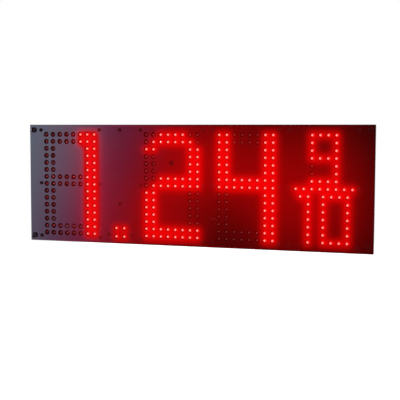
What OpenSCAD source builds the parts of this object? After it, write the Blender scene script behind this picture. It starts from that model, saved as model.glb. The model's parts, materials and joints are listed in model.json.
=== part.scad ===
// Lamp-matrix price display: a black face plate full of round holes, lamp boards carried behind
// it on spacers, and a shallow sheet-metal housing that holds the supply and the controller.
// The front faces -Y, +X is to the right seen from the front and +Z is up.
// The origin is the middle of the four corner screws, where their threads come out of the ears.

/* [Lamp grid] */
// Distance between neighbouring lamp rows
row_pitch = 10.2; // [9.8:0.1:12]
// Distance between neighbouring lamp columns
col_pitch = 10.75; // [10.4:0.05:12]
// How far the middle lamp row sits below the middle of the plate
row_drop = 0.75; // [0:0.05:1.5]
// Distance between the four lamps of the decimal point
point_pitch = 12.1; // [9:0.1:13]
// Height of the decimal point above the lowest lamp row
point_rise = 3.6; // [2:0.1:5]
// Height of the light sensor above the middle lamp row
sensor_rise = 32; // [26:0.5:38]

/* [Lamps] */
// Diameter of a lamp's body
lamp_d = 5; // [4:0.1:6]
// Length of a lamp from its board to its tip
lamp_len = 8.6; // [7:0.1:12]
// How far the rim at a lamp's foot stands out
lamp_rim = 0.4; // [0.2:0.1:0.6]
// Thickness of that rim
lamp_rim_t = 1; // [0.6:0.1:1.6]
// Gap around a lamp in its hole
lamp_gap = 1; // [0.3:0.1:1.4]
// How far a lamp's tip sits behind the plate's front
lamp_recess = 0.7; // [0:0.1:2]

/* [Lamp boards] */
// Thickness of every circuit board
board_t = 1.6; // [1.2:0.2:2.4]
// From the outer lamp column to a board's side edge
board_side = 11.6; // [11:0.1:16]
// From the outer lamp row to a board's top or bottom edge
board_margin = 8.8; // [8:0.1:14]
// Gap between neighbouring boards
board_gap = 7.9; // [4:0.1:14]
// Gap between the first two digit boards, for the decimal point
point_slot = 56.5; // [52:0.5:70]
// From a board's edge to the middle of its screws
screw_edge = 3.2; // [3.2:0.1:4]
// Radius of the boards' corners
board_corner_r = 2; // [1:0.5:3]
// Half the distance between the decimal point board's lower screws
point_screw_half = 17; // [15:0.5:20]
// How far those lower screws sit below the decimal point
point_screw_low = 3.8; // [2:0.1:6]
// How far its upper screw sits above the decimal point
point_screw_high = 41; // [30:1:50]

/* [Fasteners] */
// Diameter of the screws
screw_d = 3; // [2.5:0.1:3.5]
// Diameter of the screw heads
head_d = 5; // [4.5:0.1:6]
// Height of the screw heads
head_h = 1.7; // [1:0.1:2.5]
// Diameter of the driver recess in a screw head
drive_d = 2.2; // [1.5:0.1:2.6]
// Gap around a screw in a clearance hole
screw_gap = 0.2; // [0.1:0.05:0.4]
// Width across the flats of the small nuts
nut_w = 5.5; // [5:0.1:6]
// Thickness of the small nuts
nut_t = 2.4; // [1.8:0.1:3]
// Outer diameter of the board spacers
spacer_d = 5.5; // [4.5:0.1:6]

/* [Face plate] */
// Thickness of the face plate
face_t = 3; // [2:0.5:5]
// Radius of the plate's corners
face_corner_r = 1; // [0.5:0.5:3]
// Width of the ear at each side, which carries the corner screws
ear_w = 12.4; // [11.6:0.1:20]
// How far the plate overhangs the housing at top and bottom
face_lip = 2.2; // [0.6:0.1:5]

/* [Corner screws] */
// Diameter of the four captive mounting screws
corner_d = 5; // [4:0.5:6]
// Diameter of their heads
corner_head_d = 8; // [7.5:0.1:10]
// Height of their heads
corner_head_h = 2; // [1.5:0.1:3.5]
// Length of thread behind the ears
corner_out = 14; // [8:1:30]
// Thickness of the clips that keep them in the ears
corner_clip_t = 0.7; // [0.5:0.1:1]

/* [Housing] */
// Thickness of the housing's sheet metal
sheet_t = 1.5; // [1:0.1:2.5]
// Depth of the housing behind the mounting plane
frame_depth = 36; // [35:1:60]
// Width of the rear lip that the cover screws onto
lip_w = 10; // [9:0.5:14]
// Thickness of the gasket between plate and housing
gasket_t = 1; // [0.5:0.1:2]
// Gap between the boards and the housing's top and bottom
clear_z = 0.7; // [0.4:0.1:3]
// Gap between the first board and the housing's side
clear_left = 0.7; // [0.4:0.1:5]
// Gap between the last board and the housing's side
clear_right = 3.6; // [0.4:0.1:8]
// How far the housing's ears and the cover stop short of the plate or housing
edge_inset = 1; // [0.5:0.1:2]
// Diameter of the clinch studs that hold the housing to the plate
stud_d = 4; // [3:0.5:5]
// Height of the studs above and below the middle of the plate
stud_z = 38; // [25:1:55]
// Width across the flats of the stud nuts
stud_nut_w = 7; // [6.5:0.1:8]

/* [Power supply] */
// Width of the supply's case
supply_w = 110; // [90:1:130]
// Height of the supply's case
supply_h = 60; // [50:1:70]
// Depth of the supply's case
supply_t = 22; // [18:0.5:25]
// Wall thickness of the supply's case
supply_wall = 1; // [0.8:0.1:1.6]
// Gap between the supply's board and the cover side of its case
supply_lift = 5; // [4:0.5:7]

/* [Controller] */
// Width of the controller's board
controller_w = 100; // [90:1:120]
// Height of the controller's board
controller_h = 60; // [50:1:70]
// Length of the posts between cover and controller
post_len = 8; // [7:0.5:12]
// Diameter of the setting buttons
button_d = 8; // [6:0.5:10]
// How far a setting button stands out of the cover
button_out = 2; // [1.2:0.1:4]
// Travel of a setting button
button_travel = 1; // [0.5:0.1:1.5]
// Distance between the setting buttons
button_pitch = 16; // [14:0.5:22]

/* [Power switch] */
// Width of the switch housing in the cover
switch_w = 12.6; // [12:0.1:16]
// Height of the switch housing in the cover
switch_h = 18.8; // [18:0.1:24]
// How far the switch bezel overlaps the cover
bezel_rim = 1.1; // [0.8:0.1:2]
// How far the rocker leans either way from level
rocker_lean = 10; // [5:1:12]

/* [Cable gland] */
// Diameter of the gland's thread
gland_d = 16; // [14:0.5:20]
// Diameter of the cable hole in the gland's seal
cable_d = 7; // [4:0.5:9]

/* [Antenna] */
// Diameter of the antenna's socket
socket_d = 6.4; // [5:0.1:8]
// Length of the antenna from its hinge to its tip
whip_len = 102; // [60:1:110]
// Diameter of the antenna at its foot
whip_d = 9; // [7:0.5:11]
// Diameter of the antenna at its tip
whip_tip_d = 6.4; // [5:0.1:8]
// Diameter of the antenna's hinge pin
pin_d = 2.5; // [2:0.1:3.5]

/* [Hidden] */
$fn = 48;

// Colours that several pieces share
lit_colour = [1, 0.25, 0.2];
dark_colour = [0.35, 0.02, 0.03];
board_colour = [0.07, 0.22, 0.12];
steel_colour = [0.7, 0.7, 0.72];
black_colour = [0.08, 0.08, 0.08];
sheet_colour = [0.11, 0.11, 0.12];
chip_colour = [0.13, 0.13, 0.14];
ribbon_colour = [0.55, 0.56, 0.6];
brass_colour = [0.8, 0.65, 0.3];

// Gaps between pieces that touch, turn or slide
thread_gap = 0.05;
slide_gap = 0.3;
turn_gap = 0.08;
cut = 0.5; // how far a cutter runs past the face it cuts

// Lamp figures: eight columns by fifteen rows, drawn with strokes two lamps wide
figure_cols = 8;
figure_rows = 15;
small_cols = 4;
small_rows = 7;
bar_row = 7;
low_row = 8; // first row of the number under the bar
middle_row = 7;

// Depths, counted towards the rear
ear_back = -corner_clip_t - 2 * thread_gap;
ear_front = ear_back - sheet_t;
plate_back = ear_front - gasket_t;
plate_front = plate_back - face_t;
board_front = plate_front + lamp_recess + lamp_len;
board_back = board_front + board_t;
spacer_len = board_front - plate_back;
cover_in = frame_depth;
cover_out = frame_depth + sheet_t;

// Boards, from left to right
board_w = (figure_cols - 1) * col_pitch + 2 * board_side;
board_h = (figure_rows - 1) * row_pitch + 2 * board_margin;
screw_x = board_w / 2 - screw_edge;
screw_z = board_h / 2 - screw_edge;
inner_w = 4 * board_w + point_slot + 2 * board_gap + clear_left + clear_right;
inner_h = board_h + 2 * clear_z;
digit_1_x = -inner_w / 2 + clear_left + board_w / 2;
digit_2_x = digit_1_x + board_w + point_slot;
digit_3_x = digit_2_x + board_w + board_gap;
fraction_x = digit_3_x + board_w + board_gap;
point_x = digit_1_x + board_w / 2 + point_slot / 2;
point_z = lamp_z(figure_rows - 1) + point_rise;
board_xs = [digit_1_x, digit_2_x, digit_3_x, fraction_x];

// Housing and plate
frame_w = inner_w + 2 * sheet_t;
frame_h = inner_h + 2 * sheet_t;
face_w = frame_w + 2 * ear_w;
face_h = frame_h + 2 * face_lip;
flange_w = face_w - 2 * edge_inset;
corner_x = face_w / 2 - ear_w / 2;
corner_z = screw_z;
shoulder_d = corner_d + 0.4;
groove_d = corner_d - 0.8;
lamp_hole_d = lamp_d + 2 * lamp_gap;
sensor_x = digit_2_x;
sensor_z = lamp_z(middle_row) + sensor_rise;
sensor_d = lamp_d + 0.5;

// Screws through the plate: six on each wide board, three on the point board, one for the clip
wide_screws = [for (x = board_xs, sx = [-1, 1], sz = [-1, 0, 1]) [x + sx * screw_x, sz * screw_z]];
point_screws = [
  [point_x - point_screw_half, point_z - point_screw_low],
  [point_x + point_screw_half, point_z - point_screw_low],
  [point_x, point_z + point_screw_high]
];
clip_screw = [point_x, screw_z];
plate_screws = concat(wide_screws, point_screws, [clip_screw]);
corner_spots = [for (sx = [-1, 1], sz = [-1, 1]) [sx * corner_x, sz * corner_z]];
stud_spots = [for (sx = [-1, 1], sz = [-1, 1]) [sx * corner_x, sz * stud_z]];

// Clinch studs, pressed into the back of the plate
stud_base_d = stud_d + 3;
stud_base_t = face_t / 2;
stud_nut_t = stud_d * 0.8;
corner_drive_d = corner_head_d / 2;

// Rear layout, chained from the housing's left lip
rear_gap = 25; // free space between neighbouring devices
gland_inset = 20; // from the lip to the middle of the gland
antenna_gap = 90; // from the controller to the middle of the antenna
gland_x = -inner_w / 2 + lip_w + gland_inset;
gland_z = -45;
switch_x = gland_x;
switch_z = 5;
supply_x = gland_x + rear_gap + supply_w / 2;
supply_z = -15;
controller_x = supply_x + supply_w / 2 + rear_gap + controller_w / 2;
controller_z = -15;
antenna_x = controller_x + controller_w / 2 + antenna_gap;
antenna_z = -40;

// Board headers and ribbons
header_w = 20;
header_h = 9;
header_t = 6.5;
header_x = 28; // from a board's middle to its header
header_drop = 32; // from a board's top edge down to its header
header_z = board_h / 2 - header_drop;
ribbon_w = 13;
ribbon_t = 0.9;
ribbon_r = 3.5;
header_top = board_back + header_t;
controller_back = cover_in - post_len;
controller_front = controller_back - board_t;
point_head_rise = 8; // from the middle of the point's lamps up to its header
point_head_z = point_z + point_head_rise;
feed_shift = 22; // from the controller's middle to its header
feed_inset = 8; // from the controller's top edge down to its header
feed_rise = 23; // height of the feed ribbon
feed_x = controller_x - feed_shift;
feed_low_z = controller_z + controller_h / 2 - feed_inset;
feed_top_z = feed_low_z + feed_rise;

// Cover fixings: four along each long side and one at each short side
cover_screw_x = frame_w / 2 - sheet_t - lip_w / 2;
cover_screw_z = frame_h / 2 - sheet_t - lip_w / 2;
cover_spots = concat(
  [for (i = [-1.5:1:1.5], sz = [-1, 1]) [i * cover_screw_x / 1.5, sz * cover_screw_z]],
  [for (sx = [-1, 1]) [sx * cover_screw_x, 0]]
);
clinch_d = 6;
clinch_t = 3;
rear_screw_len = 6;
supply_hole_inset = 8;
supply_spots = [
  for (sx = [-1, 1], sz = [-1, 1])
    [supply_x + sx * (supply_w / 2 - supply_hole_inset), supply_z + sz * (supply_h / 2 - supply_hole_inset)]
];
post_inset = 5;
post_w = 5.5;
post_spots = [
  for (sx = [-1, 1], sz = [-1, 1])
    [controller_x + sx * (controller_w / 2 - post_inset), controller_z + sz * (controller_h / 2 - post_inset)]
];

// Setting buttons
button_names = ["set", "up", "down"];
button_drop = 12; // from the controller's middle down to the buttons
button_z = controller_z - button_drop;
button_rim = 1.2;
button_rim_t = 1.2;
plunger_d = 3.4;
tact_w = 6.2;
tact_t = 3.6;
tact_depth = 2.6;

// Power switch
switch_depth = 14;
switch_bezel_t = 2;
switch_wall = 1.1;
rocker_gap_x = 0.3;
rocker_w = switch_w - 2 * switch_wall - 2 * rocker_gap_x;
rocker_half = switch_h / 2 - switch_wall - 1.5;
rocker_y = cover_in - 1;
rocker_top = cover_out + switch_bezel_t + 0.7 - rocker_y;
rocker_pin_d = 2.4;
rocker_pin_reach = 0.8;
rocker_floor = 5;
tab_w = 4.8;
tab_t = 0.8;
tab_len = 7;
tab_half = 5;

// Cable gland
gland_hex = gland_d + 4;
gland_nut_w = gland_d + 6;
gland_flange_t = 4;
gland_inside = 8.5;
gland_neck = 8.5;
gland_nut_t = 4;
seal_d = gland_d - 4;
seal_len = 9;
seal_y = cover_out + 6.5;
gland_bore_d = seal_d - 2;
cap_start = cover_out + gland_flange_t + 0.5;
cap_end = seal_y + seal_len + 2.5;
cap_hole_d = cable_d + 2;

// Antenna
antenna_nut_t = 2;
socket_out = 9;
socket_flange_d = socket_d + 3;
socket_flange_t = 2;
socket_tail = 6;
sleeve_d = socket_d + 4;
sleeve_y = cover_out + antenna_nut_t + slide_gap;
sleeve_end = cover_out + socket_out + 2;
hinge_y = sleeve_end + whip_d / 2 + 1;
fork_t = 2.2;
tongue_t = 4;
fork_half = tongue_t / 2 + slide_gap + fork_t;
shoulder = whip_d / 2 + 1.5;

// Positions of lamps
function lamp_z(row) = (middle_row - row) * row_pitch - row_drop;
function lamp_x(centre, col, cols) = centre + (col - (cols - 1) / 2) * col_pitch;

// True where a full figure, with every stroke, has a lamp
function on_figure(c, r) = c < 2 || c > 5 || r < 2 || r > 12 || r == 6 || r == 7;
function on_small(c, r) = c == 0 || c == 3 || r == 0 || r == 3 || r == 6;
function on_nought(c, r) = c == 0 || c == 3 || r == 0 || r == 6;

// True where a lamp of the shown figure is lit
function lit_one(c, r) = c > 5 || (c == 5 && r < 2);
function lit_two(c, r) =
  r == 0 ? c > 1 && c < 6 :
  r == 1 ? c > 0 && c < 7 :
  r == 2 ? true :
  r < 6 ? c > 5 :
  r == 6 ? c > 1 :
  r == 7 ? c > 0 :
  r < 13 ? c < 2 : true;
function lit_four(c, r) = r < 6 ? c < 2 || c > 5 : r < 8 || c > 5;
function lit_digit(n, c, r) = n == 1 ? lit_one(c, r) : n == 2 ? lit_two(c, r) : lit_four(c, r);
function lit_nine(c, r) = c > 0 || r < 4 || r > 5;

function digit_spots(n, lit) = [
  for (c = [0:figure_cols - 1], r = [0:figure_rows - 1])
    if (on_figure(c, r) && lit_digit(n, c, r) == lit)
      [lamp_x([digit_1_x, digit_2_x, digit_3_x][n - 1], c, figure_cols), lamp_z(r)]
];
function small_spots(lit) = [
  for (c = [0:small_cols - 1], r = [0:small_rows - 1])
    if (on_small(c, r) && lit_nine(c, r) == lit) [lamp_x(fraction_x, c, small_cols), lamp_z(r)]
];
bar_spots = [for (c = [0:figure_cols - 1]) [lamp_x(fraction_x, c, figure_cols), lamp_z(bar_row)]];

// The number under the bar: a stroke with a serif, then an open ring, as wide as 5.86 columns
ten_half = 2.93 * col_pitch;
stroke_spots = concat(
  [[fraction_x - ten_half, lamp_z(low_row)]],
  [for (r = [0:small_rows - 1]) [fraction_x - ten_half + col_pitch, lamp_z(low_row + r)]]
);
nought_spots = [
  for (c = [0:small_cols - 1], r = [0:small_rows - 1])
    if (on_nought(c, r)) [fraction_x + ten_half - (small_cols - 1 - c) * col_pitch, lamp_z(low_row + r)]
];
point_spots = [
  for (sx = [-1, 1], sz = [-1, 1]) [point_x + sx * point_pitch / 2, point_z + sz * point_pitch / 2]
];
fraction_lit = concat(small_spots(true), bar_spots, stroke_spots, nought_spots);
dark_spots = concat([for (n = [1:3]) each digit_spots(n, false)], small_spots(false));
all_spots = concat([for (n = [1:3]) each digit_spots(n, true)], point_spots, fraction_lit, dark_spots);

// A flat shape drawn in X and Z, from depth y to y + t
module slab(y, t) {
  translate([0, y + t, 0]) rotate([90, 0, 0]) linear_extrude(t) children();
}

// A rod along Y from depth y1 to y2
module rod(x, z, y1, y2, d) {
  translate([x, y2, z]) rotate([90, 0, 0]) cylinder(d = d, h = y2 - y1);
}

// A hexagon along Y from depth y1 to y2, w across its flats
module hex(x, z, y1, y2, w) {
  translate([x, y2, z]) rotate([90, 0, 0]) cylinder(d = w / cos(30), h = y2 - y1, $fn = 6);
}

// A box in X and Z around a middle, from depth y1 to y2
module block(x, z, w, h, y1, y2) {
  translate([x - w / 2, y1, z - h / 2]) cube([w, y2 - y1, h]);
}

module round_rect(w, h, r) {
  square([w - 2 * r, h], center = true);
  square([w, h - 2 * r], center = true);
  for (sx = [-1, 1], sz = [-1, 1]) translate([sx * (w / 2 - r), sz * (h / 2 - r)]) circle(r = r);
}

module discs(spots, d) {
  for (p = spots) translate(p) circle(d = d);
}

// A round-ended slot standing upright
module slot(w, h) {
  square([w, h - w], center = true);
  for (s = [-1, 1]) translate([0, s * (h - w) / 2]) circle(d = w);
}

// A screw whose head rests at depth y and whose shank runs len the other way; side -1 is the front
module screw(x, z, y, len, side) {
  top = y + side * head_h;
  floor = y + side * head_h / 2;
  tip = y - side * len;
  difference() {
    union() {
      rod(x, z, min(y, top), max(y, top), head_d);
      rod(x, z, min(y, tip), max(y, tip), screw_d);
    }
    hex(x, z, min(floor, top + side * cut), max(floor, top + side * cut), drive_d);
  }
}

// A lamp standing on its board, with a round tip
module lamp() {
  rotate_extrude() intersection() {
    union() {
      square([lamp_d / 2 + lamp_rim, lamp_rim_t]);
      square([lamp_d / 2, lamp_len - lamp_d / 2]);
      translate([0, lamp_len - lamp_d / 2]) circle(d = lamp_d);
    }
    square([lamp_d, lamp_len]);
  }
}

module lamps(spots) {
  for (p = spots) translate([p[0], board_front, p[1]]) rotate([90, 0, 0]) lamp();
}

// A round lead along a curve that leaves a along na and arrives at b from along nb
function curve(a, na, b, nb, t) =
  pow(1 - t, 3) * a + 3 * pow(1 - t, 2) * t * (a + na) + 3 * (1 - t) * t * t * (b + nb) + pow(t, 3) * b;
function slope(a, na, b, nb, t) =
  3 * pow(1 - t, 2) * na + 6 * (1 - t) * t * (b + nb - a - na) - 3 * t * t * nb;
lead_rings = 14;
lead_sides = 8;
module lead(a, na, b, nb, d, up = [0, 0, 1]) {
  points = [
    for (i = [0:lead_rings])
      let (
        t = i / lead_rings,
        run = slope(a, na, b, nb, t),
        u = cross(run, up) / norm(cross(run, up)),
        v = cross(run, u) / norm(run)
      )
      for (k = [0:lead_sides - 1])
        curve(a, na, b, nb, t) + d / 2 * (cos(360 * k / lead_sides) * u + sin(360 * k / lead_sides) * v)
  ];
  last = lead_rings * lead_sides;
  sides = [
    for (i = [0:lead_rings - 1], k = [0:lead_sides - 1])
      let (j = (k + 1) % lead_sides, o = i * lead_sides)
      [o + k, o + lead_sides + k, o + lead_sides + j, o + j]
  ];
  ends = [
    [for (k = [0:lead_sides - 1]) k],
    [for (k = [lead_sides - 1:-1:0]) last + k]
  ];
  polyhedron(points, concat(sides, ends));
}

// Front

module face_plate() {
  color([0.05, 0.05, 0.06]) difference() {
    slab(plate_front, face_t) difference() {
      round_rect(face_w, face_h, face_corner_r);
      discs(all_spots, lamp_hole_d);
      discs(plate_screws, screw_d + 2 * screw_gap);
      discs(corner_spots, shoulder_d + 2 * screw_gap);
      discs([[sensor_x, sensor_z]], sensor_d + 2 * lamp_gap);
    }
    for (p = stud_spots)
      rod(p[0], p[1], plate_back - stud_base_t, plate_back + cut, stud_base_d + 2 * thread_gap);
  }
}

module plate_gasket() {
  color([0.12, 0.12, 0.12]) slab(plate_back, gasket_t) difference() {
    square([flange_w, frame_h], center = true);
    square([inner_w, inner_h], center = true);
    discs(corner_spots, shoulder_d + 2 * screw_gap);
    discs(stud_spots, stud_d + 2 * screw_gap);
  }
}

module board_screws() {
  len = plate_back - plate_front + spacer_len + board_t + nut_t + 1;
  color(black_colour) for (p = plate_screws) screw(p[0], p[1], plate_front, len, -1);
}

module board_spacers() {
  color([0.85, 0.83, 0.75]) slab(plate_back, spacer_len) difference() {
    discs(plate_screws, spacer_d);
    discs(plate_screws, screw_d + 2 * screw_gap);
  }
}

module board_nuts() {
  color(steel_colour) for (p = plate_screws) difference() {
    hex(p[0], p[1], board_back, board_back + nut_t, nut_w);
    rod(p[0], p[1], board_back - cut, board_back + nut_t + cut, screw_d + 2 * thread_gap);
  }
}

module wide_board(x) {
  color(board_colour) slab(board_front, board_t) difference() {
    translate([x, 0]) round_rect(board_w, board_h, board_corner_r);
    discs([for (p = wide_screws) if (abs(p[0] - x) < board_w / 2) p], screw_d + 2 * screw_gap);
  }
}

module digit_1_board() wide_board(digit_1_x);
module digit_2_board() wide_board(digit_2_x);
module digit_3_board() wide_board(digit_3_x);
module fraction_board() wide_board(fraction_x);

module point_board() {
  low = point_z - point_screw_low - screw_edge;
  high = point_z + point_screw_high + screw_edge;
  color(board_colour) slab(board_front, board_t) difference() {
    translate([point_x, (low + high) / 2])
      round_rect(2 * (point_screw_half + screw_edge), high - low, board_corner_r);
    discs(point_screws, screw_d + 2 * screw_gap);
  }
}

// Lit lamps by figure, and all the lamps that stay dark
module digit_1_lamps() color(lit_colour) lamps(digit_spots(1, true));
module digit_2_lamps() color(lit_colour) lamps(digit_spots(2, true));
module digit_3_lamps() color(lit_colour) lamps(digit_spots(3, true));
module point_lamps() color(lit_colour) lamps(point_spots);
module fraction_lamps() color(lit_colour) lamps(fraction_lit);
module dark_lamps() color(dark_colour) lamps(dark_spots);

// The light sensor stands on the second board, behind its own hole in the plate
module light_sensor() {
  color([0.1, 0.09, 0.09]) {
    rod(sensor_x, sensor_z, plate_front + lamp_recess + 1, board_front, sensor_d);
  }
}

// Four lamp drivers behind each wide board
module driver_chips() {
  chip_w = 10;
  chip_h = 4;
  chip_t = 1.7;
  chip_x = 20;
  chip_z = 24;
  chip_drop = 6;
  color(black_colour) for (x = board_xs, sx = [-1, 1], sz = [-1, 1])
    block(x + sx * chip_x, sz * chip_z - chip_drop, chip_w, chip_h, board_back, board_back + chip_t);
}

// Box headers: an inlet and an outlet on each wide board, and the feed on the second one
module header(x, z, w, h) {
  block(x, z, w, h, board_back, header_top);
}

module board_headers() {
  color(chip_colour) {
    for (x = board_xs, s = [-1, 1]) header(x + s * header_x, header_z, header_h, header_w);
    header(feed_x, feed_top_z, header_w, header_h);
    header(point_x, point_head_z, header_h, header_w);
    header(digit_2_x - header_x, point_head_z, header_h, header_w);
  }
}

// A flat ribbon that rises from one header, runs level and comes down into the next
module ribbon(x1, x2, z) {
  color(ribbon_colour) translate([0, header_top, z - ribbon_w / 2]) linear_extrude(ribbon_w) {
    translate([x1 + ribbon_r, ribbon_r - ribbon_t / 2]) square([x2 - x1 - 2 * ribbon_r, ribbon_t]);
    translate([x1 + ribbon_r, 0]) bend(-1, 1);
    translate([x2 - ribbon_r, 0]) bend(1, 1);
  }
}

// A quarter turn of ribbon about the origin, in the quadrant given by the two signs
module bend(sx, sy, r = ribbon_r) {
  intersection() {
    difference() {
      circle(r = r + ribbon_t / 2);
      circle(r = r - ribbon_t / 2);
    }
    translate([sx > 0 ? 0 : -2 * r, sy > 0 ? 0 : -2 * r]) square(2 * r);
  }
}

module board_ribbons() {
  for (i = [0:2]) ribbon(board_xs[i] + header_x, board_xs[i + 1] - header_x, header_z);
  ribbon(point_x, digit_2_x - header_x, point_head_z);
}

// The ribbon from the controller: up from its header, level, then into the second board's header
module feed_ribbon() {
  far_y = controller_front - header_t;
  mid_y = (header_top + far_y) / 2;
  r = min(ribbon_r, mid_y - header_top);
  leg = mid_y - header_top - r;
  color(ribbon_colour) translate([feed_x - ribbon_w / 2, 0, 0])
    rotate([90, 0, 90]) linear_extrude(ribbon_w) {
      translate([header_top, feed_top_z - ribbon_t / 2]) square([leg, ribbon_t]);
      translate([header_top + leg, feed_top_z - r]) bend(1, 1, r);
      translate([mid_y - ribbon_t / 2, feed_low_z + r]) square([ribbon_t, feed_top_z - feed_low_z - 2 * r]);
      translate([far_y - leg, feed_low_z + r]) bend(-1, -1, r);
      translate([far_y - leg, feed_low_z - ribbon_t / 2]) square([leg, ribbon_t]);
    }
}

// A plastic clip under the plate's upper middle screw, with a finger over the ribbon
module ribbon_clip() {
  clip_w = 9;
  arm_t = 1.6;
  ribbon_top = header_z + ribbon_w / 2 + slide_gap;
  finger_y = header_top + ribbon_r + ribbon_t / 2 + slide_gap;
  top = clip_screw[1] + screw_edge;
  color([0.9, 0.9, 0.88]) difference() {
    union() {
      block(clip_screw[0], (ribbon_top + top) / 2, clip_w, top - ribbon_top, board_front, board_back);
      block(clip_screw[0], ribbon_top + arm_t / 2, clip_w, arm_t, board_front, finger_y + arm_t);
      block(clip_screw[0], ribbon_top + arm_t - ribbon_w / 2, clip_w, ribbon_w, finger_y, finger_y + arm_t);
    }
    rod(clip_screw[0], clip_screw[1], board_front - cut, board_back + cut, screw_d + 2 * screw_gap);
  }
}

// Captive mounting screws: a wide head, a shoulder in the plate, a groove and a free threaded end
module corner_screws() {
  color(black_colour) for (p = corner_spots) difference() {
    union() {
      rod(p[0], p[1], plate_front - corner_head_h, plate_front, corner_head_d);
      rod(p[0], p[1], plate_front - cut, ear_back, shoulder_d);
      rod(p[0], p[1], ear_back - cut, cut, groove_d);
      rod(p[0], p[1], 0, corner_out, corner_d);
    }
    hex(p[0], p[1], plate_front - corner_head_h - cut, plate_front - corner_head_h / 2, corner_drive_d);
  }
}

module corner_clips() {
  color(steel_colour) slab(ear_back + thread_gap, corner_clip_t) difference() {
    discs(corner_spots, corner_head_d);
    discs(corner_spots, groove_d + 2 * thread_gap);
  }
}

// Housing

module rear_frame() {
  lip_open_w = inner_w - 2 * lip_w;
  lip_open_h = inner_h - 2 * lip_w;
  color(sheet_colour) {
    slab(ear_front, sheet_t) difference() {
      square([flange_w, frame_h], center = true);
      square([inner_w, inner_h], center = true);
      discs(corner_spots, shoulder_d + 2 * screw_gap);
      discs(stud_spots, stud_d + 2 * screw_gap);
    }
    slab(ear_front, cover_in - ear_front) difference() {
      square([frame_w, frame_h], center = true);
      square([inner_w, inner_h], center = true);
    }
    slab(cover_in - sheet_t, sheet_t) difference() {
      square([frame_w, frame_h], center = true);
      square([lip_open_w, lip_open_h], center = true);
      discs(cover_spots, screw_d + 2 * screw_gap);
    }
  }
}

module frame_studs() {
  color(steel_colour) for (p = stud_spots) {
    rod(p[0], p[1], plate_back - stud_base_t, plate_back, stud_base_d);
    rod(p[0], p[1], plate_back - cut, ear_back + stud_nut_t + 2, stud_d);
  }
}

module frame_nuts() {
  color(steel_colour) for (p = stud_spots) difference() {
    hex(p[0], p[1], ear_back, ear_back + stud_nut_t, stud_nut_w);
    rod(p[0], p[1], ear_back - cut, ear_back + stud_nut_t + cut, stud_d + 2 * thread_gap);
  }
}

module vent_slots() {
  slots = 9;
  slot_pitch = 9;
  slot_w = 3;
  slot_h = 24;
  vent_drop = 8;
  vent_z = header_z - vent_drop;
  for (side = [-1, 1], i = [0:slots - 1])
    translate([side * inner_w / 4 + (i - (slots - 1) / 2) * slot_pitch, vent_z]) slot(slot_w, slot_h);
}

module rear_cover() {
  color(sheet_colour) slab(cover_in, sheet_t) difference() {
    round_rect(frame_w - 2 * edge_inset, frame_h - 2 * edge_inset, face_corner_r);
    discs(concat(cover_spots, supply_spots, post_spots), screw_d + 2 * screw_gap);
    vent_slots();
    discs([[gland_x, gland_z]], gland_d + 2 * screw_gap);
    discs([[antenna_x, antenna_z]], socket_d + 2 * screw_gap);
    for (i = [0:2]) discs([[button_x(i), button_z]], button_d + 2 * slide_gap);
    translate([switch_x, switch_z])
      square([switch_w + 2 * screw_gap, switch_h + 2 * screw_gap], center = true);
  }
}

// Identical screws: cover to housing, cover to supply and posts, and controller to posts
module rear_screws() {
  color(steel_colour) {
    for (p = concat(cover_spots, supply_spots)) screw(p[0], p[1], cover_out, rear_screw_len, 1);
    for (p = post_spots) {
      screw(p[0], p[1], cover_out, sheet_t + post_len / 2 - 1, 1);
      screw(p[0], p[1], controller_front, board_t + post_len / 2 - 1, -1);
    }
  }
}

module cover_nuts() {
  y = cover_in - sheet_t;
  color(steel_colour) slab(y - clinch_t, clinch_t) difference() {
    discs(cover_spots, clinch_d);
    discs(cover_spots, screw_d + 2 * thread_gap);
  }
}

// Power supply

supply_front = cover_in - supply_t;
supply_board_back = cover_in - supply_wall - supply_lift;
supply_board_front = supply_board_back - board_t;
supply_room = supply_board_front - supply_front - supply_wall;
supply_tall = supply_room - 1.5; // height of the tallest parts on the supply's board
supply_end = 1; // how far the board stops short of the case's open ends
terminal_w = 12;
terminal_h = 30;

// A folded case, open at both ends, with rows of vent holes in its front
module supply_case() {
  vent_d = 4;
  vent_pitch = 9;
  vent_cols = floor((supply_w - 40) / vent_pitch);
  vent_rows = floor((supply_h - 14) / vent_pitch);
  color([0.75, 0.76, 0.78]) difference() {
    block(supply_x, supply_z, supply_w, supply_h, supply_front, cover_in);
    block(supply_x, supply_z, supply_w + 2 * cut, supply_h - 2 * supply_wall,
      supply_front + supply_wall, cover_in - supply_wall);
    for (c = [0:vent_cols - 1], r = [0:vent_rows - 1])
      translate([(c - (vent_cols - 1) / 2) * vent_pitch, 0, (r - (vent_rows - 1) / 2) * vent_pitch])
        rod(supply_x, supply_z, supply_front - cut, supply_front + supply_wall + cut, vent_d);
    for (p = supply_spots)
      rod(p[0], p[1], cover_in - supply_wall - cut, cover_in + cut, screw_d + 2 * thread_gap);
  }
}

// The board fills the case from side to side and rests in its folds
module supply_board() {
  color([0.55, 0.42, 0.2]) block(supply_x, supply_z, supply_w - 2 * supply_end, supply_h - 2 * supply_wall,
    supply_board_front, supply_board_back);
}

transformer_w = 26;
transformer_h = 24;
sink_w = 8;
sink_h = 18;
sink_rise = 14;
input_cap_d = 13;
input_cap_x = 24;
input_cap_half = 10;
output_cap_d = 10;
output_cap_x = 22;
output_cap_drop = 12;
part_step = 1; // how much lower the smaller parts are than the transformer

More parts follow.
